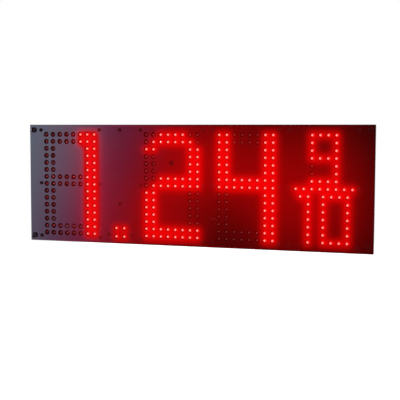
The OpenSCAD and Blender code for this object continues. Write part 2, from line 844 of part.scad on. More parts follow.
// Transformer, heat sink, two input capacitors and one output capacitor
module supply_parts() {
  top = supply_board_front - supply_tall;
  lower = top + part_step;
  color([0.2, 0.2, 0.22]) {
    block(supply_x, supply_z, transformer_w, transformer_h, top, supply_board_front);
    block(supply_x + transformer_w, supply_z + sink_rise, sink_w, sink_h, lower, supply_board_front);
    for (s = [-1, 1])
      rod(supply_x - input_cap_x, supply_z + s * input_cap_half, lower, supply_board_front, input_cap_d);
    rod(supply_x + output_cap_x, supply_z - output_cap_drop, lower, supply_board_front, output_cap_d);
  }
}

// Screw terminals at both ends of the supply: mains in at the left, low voltage out at the right
module supply_terminals() {
  color([0.1, 0.1, 0.11]) for (s = [-1, 1])
    block(supply_x + s * (supply_w / 2 - supply_end - terminal_w / 2), supply_z, terminal_w, terminal_h,
      supply_board_front - supply_tall, supply_board_front);
}

// Controller

module controller_board() {
  color([0.06, 0.2, 0.3]) slab(controller_front, board_t) difference() {
    translate([controller_x, controller_z]) round_rect(controller_w, controller_h, board_corner_r);
    discs(post_spots, screw_d + 2 * screw_gap);
  }
}

module controller_posts() {
  color([0.8, 0.7, 0.4]) for (p = post_spots) difference() {
    hex(p[0], p[1], controller_back, cover_in, post_w);
    rod(p[0], p[1], controller_back - cut, cover_in + cut, screw_d + 2 * thread_gap);
  }
}

processor_w = 14;
processor_t = 1.6;
memory_w = 10;
memory_h = 6;
memory_t = 1.7;
regulator_w = 12;
regulator_h = 8;
regulator_t = 4;
small_chip_x = 24; // from the controller's middle to the memory and the regulator
small_chip_half = 10;
smooth_cap_d = 8;
smooth_cap_t = 5;
smooth_cap_x = 16;
smooth_cap_drop = 18;

// Processor, memory, voltage regulator and smoothing capacitor
module controller_chips() {
  side_x = controller_x - small_chip_x;
  color(black_colour) {
    block(controller_x, controller_z, processor_w, processor_w,
      controller_front - processor_t, controller_front);
    block(side_x, controller_z + small_chip_half, memory_w, memory_h,
      controller_front - memory_t, controller_front);
    block(side_x, controller_z - small_chip_half, regulator_w, regulator_h,
      controller_front - regulator_t, controller_front);
    rod(controller_x + smooth_cap_x, controller_z - smooth_cap_drop,
      controller_front - smooth_cap_t, controller_front, smooth_cap_d);
  }
}

inlet_w = 12;
inlet_h = 10;
inlet_t = 9;
inlet_inset = 2; // from the controller's left edge
inlet_x = controller_x - controller_w / 2 + inlet_w / 2 + inlet_inset;

module controller_header() {
  color(chip_colour) {
    block(feed_x, feed_low_z, header_w, header_h, controller_front - header_t, controller_front);
    block(inlet_x, controller_z, inlet_w, inlet_h, controller_front - inlet_t, controller_front);
  }
}

radio_w = 18;
radio_h = 26;
radio_t = 3.4;
radio_inset = 4; // from the controller's right edge
radio_x = controller_x + controller_w / 2 - radio_w / 2 - radio_inset;

module radio_module() {
  color([0.65, 0.66, 0.68])
    block(radio_x, controller_z, radio_w, radio_h, controller_front - radio_t, controller_front);
}

function button_x(i) = controller_x + (i - 1) * button_pitch;
tact_top = controller_back + tact_t;
cap_foot = tact_top + button_travel + slide_gap;

// Push switches under the setting buttons, each with a well for the button's plunger
module button_switches() {
  color(chip_colour) for (i = [0:2]) difference() {
    block(button_x(i), button_z, tact_w, tact_w, controller_back, tact_top);
    rod(button_x(i), button_z, tact_top - tact_depth, tact_top + cut, plunger_d + 2 * slide_gap);
  }
}

// A round key with a rim that keeps it behind the cover and a plunger down into its switch
module button(i) {
  rim_top = cover_in - slide_gap;
  color([0.75, 0.75, 0.76]) {
    rod(button_x(i), button_z, cap_foot, cover_out + button_out, button_d);
    rod(button_x(i), button_z, rim_top - button_rim_t, rim_top, button_d + 2 * button_rim);
    rod(button_x(i), button_z, tact_top - tact_depth + button_travel + slide_gap, cap_foot + cut, plunger_d);
  }
}

module set_button() button(0);
module up_button() button(1);
module down_button() button(2);

// Power switch

module switch_body() {
  well_w = switch_w - 2 * switch_wall;
  well_h = switch_h - 2 * switch_wall;
  color(black_colour) difference() {
    union() {
      block(switch_x, switch_z, switch_w, switch_h, cover_in - switch_depth, cover_out);
      block(switch_x, switch_z, switch_w + 2 * bezel_rim, switch_h + 2 * bezel_rim,
        cover_out, cover_out + switch_bezel_t);
    }
    block(switch_x, switch_z, well_w, well_h, rocker_y - rocker_floor, cover_out + switch_bezel_t + cut);
    translate([switch_x - switch_w / 2 - cut, rocker_y, switch_z]) rotate([0, 90, 0])
      cylinder(d = rocker_pin_d + 2 * turn_gap, h = switch_w + 2 * cut);
  }
}

// The rocker leans with its upper end pressed in, and turns on two stub pins
module switch_rocker() {
  edge = rocker_top - 4;
  color([0.6, 0.05, 0.05]) translate([switch_x, rocker_y, switch_z]) rotate([rocker_lean, 0, 0]) {
    translate([-rocker_w / 2, 0, 0]) rotate([90, 0, 90]) linear_extrude(rocker_w) polygon([
      [-2, -3], [edge, -rocker_half], [rocker_top, -rocker_half], [rocker_top - 1, 0],
      [rocker_top, rocker_half], [edge, rocker_half], [-2, 3]
    ]);
    pin_len = rocker_w + 2 * rocker_gap_x + 2 * rocker_pin_reach;
    translate([-pin_len / 2, 0, 0]) rotate([0, 90, 0]) cylinder(d = rocker_pin_d, h = pin_len);
  }
}

module switch_tabs() {
  y = cover_in - switch_depth;
  color([0.8, 0.75, 0.6]) for (s = [-1, 1])
    block(switch_x, switch_z + s * tab_half, tab_w, tab_t, y - tab_len, y);
}

// Cable gland

module gland_body() {
  color(black_colour) difference() {
    union() {
      rod(gland_x, gland_z, cover_in - gland_inside, cover_out + gland_flange_t + gland_neck, gland_d);
      hex(gland_x, gland_z, cover_out, cover_out + gland_flange_t, gland_hex);
    }
    rod(gland_x, gland_z, cover_in - gland_inside - cut, seal_y + cut, gland_bore_d);
    rod(gland_x, gland_z, seal_y, cap_end, seal_d + 2 * thread_gap);
  }
}

module gland_nut() {
  color(black_colour) difference() {
    hex(gland_x, gland_z, cover_in - gland_nut_t, cover_in, gland_nut_w);
    rod(gland_x, gland_z, cover_in - gland_nut_t - cut, cover_in + cut, gland_d + 2 * thread_gap);
  }
}

module gland_cap() {
  neck_end = cover_out + gland_flange_t + gland_neck + slide_gap;
  color(black_colour) difference() {
    hex(gland_x, gland_z, cap_start, cap_end, gland_hex);
    rod(gland_x, gland_z, cap_start - cut, neck_end, gland_d + 2 * thread_gap);
    rod(gland_x, gland_z, neck_end - cut, seal_y + seal_len, seal_d + 2 * thread_gap);
    rod(gland_x, gland_z, seal_y + seal_len - cut, cap_end + cut, cap_hole_d);
  }
}

module gland_seal() {
  color([0.2, 0.2, 0.2]) difference() {
    rod(gland_x, gland_z, seal_y, seal_y + seal_len, seal_d);
    rod(gland_x, gland_z, seal_y - cut, seal_y + seal_len + cut, cable_d);
  }
}

// Antenna

module antenna_socket() {
  color(brass_colour) {
    rod(antenna_x, antenna_z, cover_in - socket_flange_t, cover_out + socket_out, socket_d);
    rod(antenna_x, antenna_z, cover_in - socket_flange_t, cover_in, socket_flange_d);
    rod(antenna_x, antenna_z, cover_in - socket_tail, cover_in - cut, socket_d - 2);
  }
}

module antenna_nut() {
  color(brass_colour) difference() {
    hex(antenna_x, antenna_z, cover_out, cover_out + antenna_nut_t, socket_d + 2);
    rod(antenna_x, antenna_z, cover_out - cut, cover_out + antenna_nut_t + cut, socket_d + 2 * thread_gap);
  }
}

// A sleeve that turns on the socket, with a fork for the hinge
module antenna_knuckle() {
  color(black_colour) difference() {
    union() {
      rod(antenna_x, antenna_z, sleeve_y, sleeve_end, sleeve_d);
      for (s = [-1, 1]) translate([antenna_x + s * (fork_half - fork_t / 2), 0, antenna_z])
        rotate([0, 90, 0]) {
          translate([0, hinge_y, 0]) cylinder(d = whip_d, h = fork_t, center = true);
          translate([-whip_d / 2, sleeve_end - 1, -fork_t / 2])
            cube([whip_d, hinge_y - sleeve_end + 1, fork_t]);
        }
    }
    rod(antenna_x, antenna_z, sleeve_y - cut, cover_out + socket_out + slide_gap, socket_d + 2 * turn_gap);
    translate([antenna_x, hinge_y, antenna_z]) rotate([0, 90, 0])
      cylinder(d = pin_d + 2 * thread_gap, h = 2 * fork_half + 2 * cut, center = true);
  }
}

module antenna_pin() {
  color(steel_colour) translate([antenna_x, hinge_y, antenna_z]) rotate([0, 90, 0])
    cylinder(d = pin_d, h = 2 * fork_half, center = true);
}

// The whip stands upright behind the cover, on a flat tongue between the fork's cheeks
module antenna_whip() {
  color(black_colour) translate([antenna_x, hinge_y, antenna_z]) difference() {
    union() {
      rotate([0, 90, 0]) cylinder(d = whip_d - 1, h = tongue_t, center = true);
      translate([-tongue_t / 2, -(whip_d - 1) / 2, 0]) cube([tongue_t, whip_d - 1, shoulder + 1]);
      translate([0, 0, shoulder])
        cylinder(d1 = whip_d, d2 = whip_tip_d, h = whip_len - shoulder - whip_tip_d / 2);
      translate([0, 0, whip_len - whip_tip_d / 2]) sphere(d = whip_tip_d);
    }
    rotate([0, 90, 0]) cylinder(d = pin_d + 2 * turn_gap, h = tongue_t + 2 * cut, center = true);
  }
}

// Leads inside the housing

wire_d = 2;
coax_d = 1.8;
lead_reach = 14;
pair_half = 2.5; // half the distance between two wires of a pair
terminal_y = supply_board_front - supply_tall / 2;

module mains_leads() {
  tab_end = cover_in - switch_depth - tab_len;
  face_x = supply_x - supply_w / 2 + supply_end;
  color([0.25, 0.2, 0.15]) for (s = [-1, 1])
    lead([switch_x, tab_end, switch_z + s * tab_half], [0, -lead_reach / 4, 0],
      [face_x, terminal_y, supply_z + s * tab_half], [-lead_reach, 0, 0], wire_d);
}

module supply_leads() {
  out_x = supply_x + supply_w / 2 - supply_end;
  in_x = inlet_x - inlet_w / 2;
  color([0.6, 0.08, 0.08]) for (s = [-1, 1])
    lead([out_x, terminal_y, supply_z + s * pair_half], [lead_reach, 0, 0],
      [in_x, controller_front - inlet_t / 2, controller_z + s * pair_half], [-lead_reach, 0, 0], wire_d);
}

module antenna_lead() {
  color(black_colour)
    lead([radio_x + radio_w / 2, controller_front - radio_t / 2, controller_z], [lead_reach * 3, 0, 0],
      [antenna_x, cover_in - socket_tail, antenna_z], [0, -lead_reach, 0], coax_d);
}

face_plate();
plate_gasket();
board_screws();
board_spacers();
board_nuts();
digit_1_board();
digit_2_board();
digit_3_board();
point_board();
fraction_board();
digit_1_lamps();
digit_2_lamps();
digit_3_lamps();
point_lamps();
fraction_lamps();
dark_lamps();
light_sensor();
driver_chips();
board_headers();
board_ribbons();
feed_ribbon();
ribbon_clip();
corner_screws();
corner_clips();
rear_frame();
frame_studs();
frame_nuts();
rear_cover();
rear_screws();
cover_nuts();
supply_case();
supply_board();
supply_parts();
supply_terminals();
controller_board();
controller_posts();
controller_chips();
controller_header();
radio_module();
button_switches();
set_button();
up_button();
down_button();
switch_body();
switch_rocker();
switch_tabs();
gland_body();
gland_nut();
gland_cap();
gland_seal();
antenna_socket();
antenna_nut();
antenna_knuckle();
antenna_pin();
antenna_whip();
mains_leads();
supply_leads();
antenna_lead();
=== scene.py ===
"""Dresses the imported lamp-matrix price display: finishes, lit lamps, rear fittings, studio and camera."""

import json
import math

import bmesh
import bpy
import numpy as np
from bpy.props import FloatProperty, FloatVectorProperty, IntProperty, PointerProperty
from mathutils import Matrix, Vector
from mathutils.geometry import delaunay_2d_cdt

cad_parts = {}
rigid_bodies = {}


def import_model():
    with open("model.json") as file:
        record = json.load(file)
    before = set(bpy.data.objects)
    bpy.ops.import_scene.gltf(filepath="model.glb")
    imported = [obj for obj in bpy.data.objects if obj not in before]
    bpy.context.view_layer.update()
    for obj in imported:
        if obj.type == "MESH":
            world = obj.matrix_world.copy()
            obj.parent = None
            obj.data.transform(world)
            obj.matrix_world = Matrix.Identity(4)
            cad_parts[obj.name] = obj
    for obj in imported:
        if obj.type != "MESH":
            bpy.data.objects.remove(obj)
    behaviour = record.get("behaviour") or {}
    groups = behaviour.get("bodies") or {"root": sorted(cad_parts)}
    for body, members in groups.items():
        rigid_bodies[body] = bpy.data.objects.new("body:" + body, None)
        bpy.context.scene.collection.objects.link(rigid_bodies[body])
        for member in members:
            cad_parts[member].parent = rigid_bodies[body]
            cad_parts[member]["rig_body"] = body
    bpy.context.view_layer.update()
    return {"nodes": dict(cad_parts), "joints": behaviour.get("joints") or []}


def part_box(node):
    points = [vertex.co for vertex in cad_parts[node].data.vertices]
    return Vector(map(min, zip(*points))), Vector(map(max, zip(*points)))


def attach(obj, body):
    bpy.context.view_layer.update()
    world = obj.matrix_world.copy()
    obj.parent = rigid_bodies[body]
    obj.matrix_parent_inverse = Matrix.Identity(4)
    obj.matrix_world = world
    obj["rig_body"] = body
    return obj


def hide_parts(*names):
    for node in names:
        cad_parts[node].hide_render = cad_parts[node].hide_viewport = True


bl_info = {
    "name": "Price display looks",
    "version": (1, 0, 0),
    "blender": (4, 5, 0),
    "location": "3D View > Sidebar > Display",
    "description": "Dresses a lamp-matrix price display and sets up its studio",
    "category": "Object",
}

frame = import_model()
nodes = frame["nodes"]
joints = {joint["name"]: joint for joint in frame["joints"]}

MM = 0.001
WHITE = (1, 1, 1)
# Each group of lit lamps: the strength of its tight, middle and wide painted glow, and its part of the glow's
# shift.
GLOW_SHARE = {
    "digit_1_lamps": (0.95, 1.2, 0.55, 1.2),
    "digit_2_lamps": (0.9, 0.8, 0.92, 1.0),
    "digit_3_lamps": (1.0, 0.35, 0.95, 0.85),
    "point_lamps": (1.0, 0.0, 1.5, 1.0),
    "fraction_lamps": (1.0, 0.0, 1.0, 0.2),
}
LIT_NODES = list(GLOW_SHARE)
BOARD_NODES = ["digit_1_board", "digit_2_board", "digit_3_board", "point_board", "fraction_board"]
# Number of sides of the round shapes.
SIDES = {
    "screw hole": 12, "corner hole": 16, "board screw": 24, "mark": 32, "corner screw": 36, "rib": 36,
    "floor": 64,
}
# How close to a node's very front its front points lie.
FRONT_SLACK = 0.02 * MM
# Points that are closer together than this are one.
WELD = 0.002 * MM
# Faces that turn by less than the first angle are one. An edge that turns by more than the second is rounded.
FLAT_ANGLE = math.radians(0.5)
EDGE_ANGLE = math.radians(50)
# Faces that meet at a smaller angle than this, in degrees, look smooth.
SMOOTH_ANGLE = 35.0
# The limits between which most of a noise lies.
NOISE_SPAN = (0.3, 0.7)
# How much coarser a finish's clouds are than its relief.
CLOUD_COARSER = 12
# How far a finish's roughness varies to either side.
ROUGH_BY = 0.06
# Where the floor starts to turn white and where it is white, in metres from its middle.
FLOOR_SPAN = (1.4, 2.8)
# Where the stage's panel is fully lit and where it is dark, in metres across.
PANEL_SPAN = (-1.12, -0.32)
# The soft lights: the place, the point that they aim at, the width and the height, in metres.
SOFT_LIGHTS = {
    "gridded softbox": ((-1.9, -1.2, 0.15), (-0.33, 0, 0), 0.2, 0.5),
    "top softbox": ((0.2, -0.3, 1.6), (0, 0, 0), 1.4, 0.8),
    "rear softbox": ((0.7, 1.4, 1.25), (0, 0.03, 0), 1.2, 0.9),
}


def size(name, words, millimetres):
    """A length that the user can change."""
    return FloatProperty(
        name=name, description=words, default=millimetres * MM, min=0,
        precision=5, unit="LENGTH", subtype="DISTANCE",
    )


def spot(name, words, millimetres):
    """A place or three lengths that the user can change."""
    return FloatVectorProperty(
        name=name, description=words, default=[v * MM for v in millimetres],
        precision=5, unit="LENGTH", subtype="XYZ",
    )


def degrees(name, words, default):
    """An angle that the user can change."""
    return FloatProperty(
        name=name, description=words, default=math.radians(default), unit="ROTATION", subtype="ANGLE"
    )


def share(name, words, default):
    """A plain number that the user can change."""
    return FloatProperty(name=name, description=words, default=default, min=0, precision=4)


def colour(name, words, default):
    """A colour that the user can change, in linear values."""
    return FloatVectorProperty(
        name=name, description=words, default=default, min=0, max=1, size=3, subtype="COLOR"
    )


class DisplaySizes(bpy.types.PropertyGroup):
    """Sizes of the edges, recesses and marks that the looks add."""

    hole_d: size("Lamp hole", "Diameter of the hole around a lamp", 7.0)
    sensor_hole_d: size("Sensor hole", "Diameter of the hole around the light sensor", 7.5)
    screw_hole_d: size("Screw hole", "Diameter of the holes for the board screws", 3.4)
    corner_hole_d: size("Corner hole", "Diameter of the holes for the corner screws", 5.8)
    plate_edge: size("Plate edge", "Width of the broken edges of the plate and its holes", 0.25)
    plate_corner: size("Plate corner", "Radius of the plate's corners", 1.0)
    board_corner: size("Board corner", "Radius of the lamp boards' corners", 2.0)
    board_edge: size("Board edge", "Width of the broken edges of the lamp boards", 0.05)
    plate_step: size("Plate step", "Distance between the plate's points, which carry the glow", 2.0)
    board_step: size("Board step", "Distance between the boards' points, which carry the glow", 3.0)
    lamp_d: size("Lamp", "Diameter of a lamp's body", 5.0)
    lamp_rim: size("Lamp rim", "How far the rim at a lamp's foot stands out", 0.4)
    lamp_rim_t: size("Lamp rim thickness", "Thickness of that rim", 1.0)
    head_d: size("Board screw head", "Diameter of the head", 5.0)
    head_h: size("Board screw head height", "Height of the head", 1.7)
    head_crown: size("Board screw crown", "How far the head rises to its middle", 1.2)
    drive_w: size("Board screw drive", "Width across the flats of the recess", 2.2)
    screw_d: size("Board screw", "Diameter of the shank", 3.0)
    corner_head_d: size("Corner screw head", "Diameter of the head", 8.0)
    corner_crown: size("Corner screw crown", "How far the head rises to its middle", 0.7)
    corner_drive_w: size("Corner screw drive", "Width across the flats of the recess", 4.0)
    corner_shoulder_d: size("Corner screw shoulder", "Diameter of the shoulder", 5.4)
    corner_groove_d: size("Corner screw groove", "Diameter of the clip groove", 4.2)
    corner_d: size("Corner screw thread", "Diameter of the thread", 5.0)
    thread_pitch: size("Thread pitch", "Distance between the turns of that thread", 0.8)
    thread_depth: size("Thread depth", "Depth of that thread", 0.35)
    thread_crest: size("Thread crest", "Width of the flat top of a turn", 0.16)
    drive_lip: size("Drive lip", "Width of the slope around a screw's recess", 0.35)
    drive_sink: size("Drive sink", "Depth of that slope", 0.12)
    sheet_edge: size("Sheet edge", "Width of the broken edges of the housing", 0.35)
    moulded_edge: size("Moulded edge", "Width of the rounded edges of moulded pieces", 0.3)
    gland_edge: size("Gland edge", "Width of the rounded edges of the cable gland", 0.6)
    metal_edge: size("Metal edge", "Width of the broken edges of small metal pieces", 0.15)
    mark_rise: size("Mark height", "How far a raised mark stands out", 0.15)
    streak_place: spot("Streak mark", "Middle of the faint rub mark on the plate", (31.0, 0.0, -44.8))
    streak_reach: spot("Streak mark reach", "Half the length, depth and width of the rub mark", (8.5, 50.0, 1.5))
    streak_slope: degrees("Streak mark slope", "How far the rub mark leans", 11)


class DisplayLooks(bpy.types.PropertyGroup):
    """Colours of the lamps and the coat, and of the glow painted around the lit lamps."""

    coat: colour("Coat", "Colour of the face plate's coat", (0.0016, 0.0016, 0.002))
    coat_roughness: share("Coat roughness", "Roughness of the face plate's coat", 0.12)
    rub: colour("Streak mark", "Colour of the coat where it is streaked", (0.1, 0.014, 0.02))
    housing: colour("Housing", "Colour of the housing's textured coat", (0.016, 0.016, 0.018))
    lit_core: colour("Lit core", "Colour of a lit lamp at its tip", (1.0, 0.62, 0.57))
    lit_halo: colour("Lit halo", "Colour of a lit lamp around its core", (1.0, 0.186, 0.1482))
    lit_red: colour("Lit red", "Colour of a lit lamp on its dome", (1.0, 0.012, 0.01))
    lit_rim: colour("Lit rim", "Colour of a lit lamp at its side", (0.78, 0.004, 0.004))
    # The pale tip stands partly for the inner cup seen through the resin and partly for a painted highlight.
    dark_lens: colour("Dark lens", "Colour of an unlit lamp at its tip", (0.3, 0.022, 0.03))
    # The glow is painted light: a red light stored on the points of the front pieces, standing for the lit
    # lamps' light around them and their bloom.
    glow_near: share("Near glow", "Strength of the tight glow around a lit lamp", 0.42)
    glow_middle: share("Middle glow", "Strength of the middle glow", 0.016)
    glow_far: share("Far glow", "Strength of the wide glow", 0.0087)
    glow_tint: colour("Glow tint", "Colour of the glow around the lit lamps", (1.0, 0.0004, 0.0006))
    near_reach: size("Near reach", "Spread of the tight glow", 5.0)
    middle_reach: size("Middle reach", "Spread of the middle glow", 14.0)
    far_reach: size("Far reach", "Spread of the wide glow", 40.0)
    glow_shift: spot("Glow shift", "How far the glow lies off its lamp, across and up", (1.1, 0.0, -0.7))
    glow_depth: size("Glow depth", "How far the glow reaches into the holes", 18.0)
    # Painted reflection: the plate's sheen is tinted red where the painted glow is strong.
    red_from: share("Red sheen from", "Glow at which the plate's sheen starts to redden", 0.22)
    red_to: share("Red sheen to", "Glow at which the plate's sheen is as red as the lamps", 0.5)
    sensor_share: share("Sensor glow", "Part of the lamps' glow that the light sensor shows", 0.68)
    screw_share: share("Screw glow", "Part of the lamps' glow that the screws show", 0.9)
    lamp_sides: IntProperty(name="Lamp sides", description="Sides of a round lamp", default=28, min=12)


def sizes():
    return bpy.context.scene.display_sizes


def looks():
    return bpy.context.scene.display_looks


# Reading the frame

def points_of(thing):
    """All points of an object's mesh, as an array of rows."""
    vertices = thing.data.vertices
    flat = np.empty(len(vertices) * 3)
    vertices.foreach_get("co", flat)
    return flat.reshape(-1, 3)


def front_spots(node, reach):
    """Middles, in X and Z, of a node's separate solids, from the points at its very front."""
    points = points_of(nodes[node])
    front = points[points[:, 1] < points[:, 1].min() + FRONT_SLACK][:, [0, 2]]
    spots = []
    while len(front):
        near = np.hypot(*(front - front[0]).T) < reach
        spots.append((front[near].min(0) + front[near].max(0)) / 2)
        front = front[~near]
    return np.array(spots)


def lamp_spots(node):
    return front_spots(node, sizes().lamp_d)


def screw_spots():
    return front_spots("board_screws", sizes().head_d + MM)


def corner_spots():
    return front_spots("corner_screws", sizes().corner_head_d + MM)


# Making meshes

def add_object(name, data):
    """A new object in the scene."""
    made = bpy.data.objects.new(name, data)
    bpy.context.scene.collection.objects.link(made)
    return made


def add_piece(name, points, faces, material, node, extra=False, smooth_angle=SMOOTH_ANGLE):
    """Adds a mesh that rides with a CAD node's body and, unless it is extra, stands for that node."""
    mesh = bpy.data.meshes.new(name)
    mesh.from_pydata([tuple(p) for p in points], [], faces)
    mesh.update()
    return settle(name, mesh, material, node, extra, smooth_angle)


def settle(name, mesh, material, node, extra=False, smooth_angle=SMOOTH_ANGLE):
    """Turns a finished mesh into a piece with its material and body."""
    mesh.polygons.foreach_set("use_smooth", [True] * len(mesh.polygons))
    mesh.set_sharp_from_angle(angle=math.radians(smooth_angle))
    mesh.materials.append(material)
    piece = add_object(name, mesh)
    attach(piece, nodes[node]["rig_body"])
    if not extra:
        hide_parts(node)
    return piece


def paint(piece, name, values):
    """Stores one number for each point of a piece."""
    layer = piece.data.attributes.new(name, "FLOAT", "POINT")
    layer.data.foreach_set("value", np.asarray(values, np.float32))


def hexagon(angle):
    """How far a hexagon's edge is at an angle, for a hexagon one across its flats from the middle."""
    sixth = math.pi / 3
    return 1 / math.cos((angle % sixth) - sixth / 2)


def turned(rings, sides):
    """Points and faces of a solid around Y. A ring is (radius, depth) or (half width, depth, "hex")."""
    points = []
    rows = []
    for ring in rings:
        radius, depth = ring[:2]
        if radius == 0:
            rows.append([len(points)] * sides)
            points.append((0.0, depth, 0.0))
            continue
        rows.append(list(range(len(points), len(points) + sides)))
        for k in range(sides):
            angle = 2 * math.pi * k / sides
            reach = radius * hexagon(angle) if len(ring) == 3 else radius
            points.append((reach * math.cos(angle), depth, reach * math.sin(angle)))
    faces = []
    for upper, lower in zip(rows, rows[1:]):
        for k in range(sides):
            j = (k + 1) % sides
            corners = [upper[k], lower[k], lower[j], upper[j]]
            faces.append(list(dict.fromkeys(corners)))
    return np.array(points), faces


def scattered(points, faces, spots):
    """Copies of one solid at several spots in X and Z."""
    shifts = np.zeros((len(spots), 3))
    shifts[:, [0, 2]] = spots
    every_point = (points[None] + shifts[:, None]).reshape(-1, 3)
    every_face = [[i + n * len(points) for i in face] for n in range(len(spots)) for face in faces]
    return every_point, every_face


def arc(middle, radius, start, stop, steps):
    """Rings along a quarter turn or the like, as (radius, depth) around a middle."""
    angles = np.linspace(math.radians(start), math.radians(stop), steps)
    return [(middle[0] + radius * math.cos(a), middle[1] + radius * math.sin(a)) for a in angles]


def circle(middle, radius, sides, start=0.0):
    """Points around a middle, the first at a start angle."""
    angles = start + 2 * math.pi * np.arange(sides) / sides
    return np.stack([middle[0] + radius * np.cos(angles), middle[1] + radius * np.sin(angles)], 1)


def eased(node, width, material, steps=2):
    """A piece with a CAD node's shape and rounded edges, standing for that node."""
    shape = bmesh.new()
    shape.from_mesh(nodes[node].data)
    bmesh.ops.remove_doubles(shape, verts=shape.verts, dist=WELD)
    bmesh.ops.dissolve_limit(shape, angle_limit=FLAT_ANGLE, verts=shape.verts, edges=shape.edges)
    sharp = [e for e in shape.edges if len(e.link_faces) == 2 and e.calc_face_angle(0) > EDGE_ANGLE]
    bmesh.ops.bevel(
        shape, geom=sharp, offset=width, segments=steps, profile=0.5, affect="EDGES", clamp_overlap=True
    )
    bmesh.ops.recalc_face_normals(shape, faces=shape.faces)
    mesh = bpy.data.meshes.new(node + "_eased")
    shape.to_mesh(mesh)
    shape.free()
    piece = settle(node + "_eased", mesh, material, node)
    flat_sides = piece.modifiers.new("flat sides stay flat", "WEIGHTED_NORMAL")
    flat_sides.keep_sharp = True
    return piece


# Materials

class Shader:
    """The node tree of a material or world, with short ways to add nodes to it."""

    def __init__(self, owner, end="Principled BSDF"):
        owner.use_nodes = True
        self.owner = owner
        self.tree = owner.node_tree
        self.end = self.tree.nodes[end]

    def feed(self, node, values):
        """Sets a node's inputs, each to a plain value or from another node's output."""
        for name, value in values.items():
            if isinstance(value, bpy.types.NodeSocket):
                self.tree.links.new(value, node.inputs[name])
            else:
                node.inputs[name].default_value = value

    def add(self, kind, values=None):
        """A new node with its inputs set."""
        node = self.tree.nodes.new("ShaderNode" + kind)
        self.feed(node, values or {})
        return node

    def finished(self, values):
        """The material or world, with the inputs of its last node set."""
        self.feed(self.end, values)
        return self.owner

    def coords(self):
        """Where a point lies in its object."""
        return self.add("TexCoord").outputs["Object"]

    def maths(self, kind, operation, *values):
        """The result of an operation on numbers or vectors."""
        node = self.add(kind, dict(enumerate(values)))
        node.operation = operation
        return node.outputs["Value"]

    def stored(self, name):
        """A number that is stored on the points of a piece."""
        node = self.add("Attribute")
        node.attribute_name = name
        return node.outputs["Fac"]

    def noise(self, scale, detail=3.0, stretch=None):
        """A noise value, finer with a larger scale, in turns per metre."""
        coords = self.coords()
        if stretch:
            coords = self.add("Mapping", {"Vector": coords, "Scale": stretch}).outputs["Vector"]
        return self.add("TexNoise", {"Vector": coords, "Scale": scale, "Detail": detail}).outputs["Fac"]

    def ranged(self, value, low, high, span=NOISE_SPAN):
        """A value between two limits, by where another value lies in its span."""
        limits = {"From Min": span[0], "From Max": span[1], "To Min": low, "To Max": high}
        return self.add("MapRange", {"Value": value, **limits}).outputs["Result"]

    def ramp(self, value, stops):
        """A colour from a value through colour stops."""
        node = self.add("ValToRGB", {"Fac": value})
        elements = node.color_ramp.elements
        while len(elements) < len(stops):
            elements.new(0.5)
        for element, (place, tint) in zip(elements, stops):
            element.position = place
            element.color = (*tint, 1)
        return node.outputs["Color"]

    def between(self, value, first, second):
        """A colour between two tints, by a noise value."""
        return self.ramp(value, list(zip(NOISE_SPAN, (first, second))))

    def bump(self, value, height, strength):
        """A relief by a value, up to a height in millimetres."""
        values = {"Height": value, "Distance": height * MM, "Strength": strength}
        return self.add("Bump", values).outputs["Normal"]

    def painted_lamp_glow(self):
        """Adds the painted glow: a red light stored on the points, standing for the light that the lit lamps
        cast around them and for their bloom.
        """
        glow = self.stored("glow")
        self.feed(self.end, {"Emission Color": (*looks().glow_tint, 1), "Emission Strength": glow})
        return glow

    def seen_rays(self):
        """1 for rays that show the surroundings directly, in a mirror or through glass."""
        path = self.add("LightPath").outputs
        shown = self.maths("Math", "MAXIMUM", path["Is Camera Ray"], path["Is Glossy Ray"])
        return self.maths("Math", "MAXIMUM", shown, path["Is Transmission Ray"])


def shader(name):
    """The node tree of a new material."""
    return Shader(bpy.data.materials.new(name))


def tinted(tint, factor):
    """A paler or darker tint."""
    return tuple(min(1.0, part * factor) for part in tint)


def finish(
    name, tint, rough, grain=900, depth=0.05, metal=0.0, mottle=0.25, stretch=None, coat=0.0, gloss=0.5,
    with_painted_glow=False,
):
    """A finish whose tint, roughness and relief all vary over the surface."""
    m = shader(name)
    broad = m.noise(grain / CLOUD_COARSER, 4.0, stretch)
    fine = m.noise(grain, 2.0, stretch)
    if with_painted_glow:
        m.painted_lamp_glow()
    return m.finished({
        "Base Color": m.between(broad, tinted(tint, 1 - mottle), tinted(tint, 1 + mottle)),
        "Roughness": m.ranged(broad, rough - ROUGH_BY, rough + ROUGH_BY),
        "Normal": m.bump(fine, depth, strength=0.6),
        "Metallic": metal,
        "Coat Weight": coat,
        "Specular IOR Level": gloss,
    })


def coat_with_painted_glow():
    """The face plate's smooth coat, with a paler reddish streak, with the lamps' glow painted on it, and with
    its sheen painted red where that glow is strong.
    """
    m = shader("coat with painted glow")
    s, k = sizes(), looks()
    rough, scuff_by = k.coat_roughness, 0.02
    cloud = m.noise(scale=40, detail=5.0)
    peel = m.noise(scale=700, detail=2.0)
    scuff = m.noise(scale=60, detail=6.0, stretch=(1.0, 1.0, 9.0))
    # A paler reddish streak mixed into the coat's colour along a leaning line.
    place = m.add("Mapping", {
        "Vector": m.coords(), "Location": s.streak_place, "Rotation": (0, s.streak_slope, 0), "Scale": s.streak_reach,
    })
    place.vector_type = "TEXTURE"
    rub = m.add("TexGradient", {"Vector": place.outputs["Vector"]})
    rub.gradient_type = "SPHERICAL"
    with_streak = m.add("MixRGB", {
        "Fac": rub.outputs["Fac"],
        "Color1": m.between(cloud, tinted(k.coat, 0.8), tinted(k.coat, 1.2)),
        "Color2": (*k.rub, 1),
    })
    glow = m.painted_lamp_glow()
    return m.finished({
        "Base Color": with_streak.outputs["Color"],
        "Roughness": m.ranged(scuff, rough - scuff_by, rough + scuff_by),
        "Normal": m.bump(peel, height=0.01, strength=0.35),
        # Painted reflection: the sheen is tinted red where the painted glow is strong.
        "Specular Tint": m.ramp(glow, [(k.red_from, WHITE), (k.red_to, k.glow_tint)]),
    })


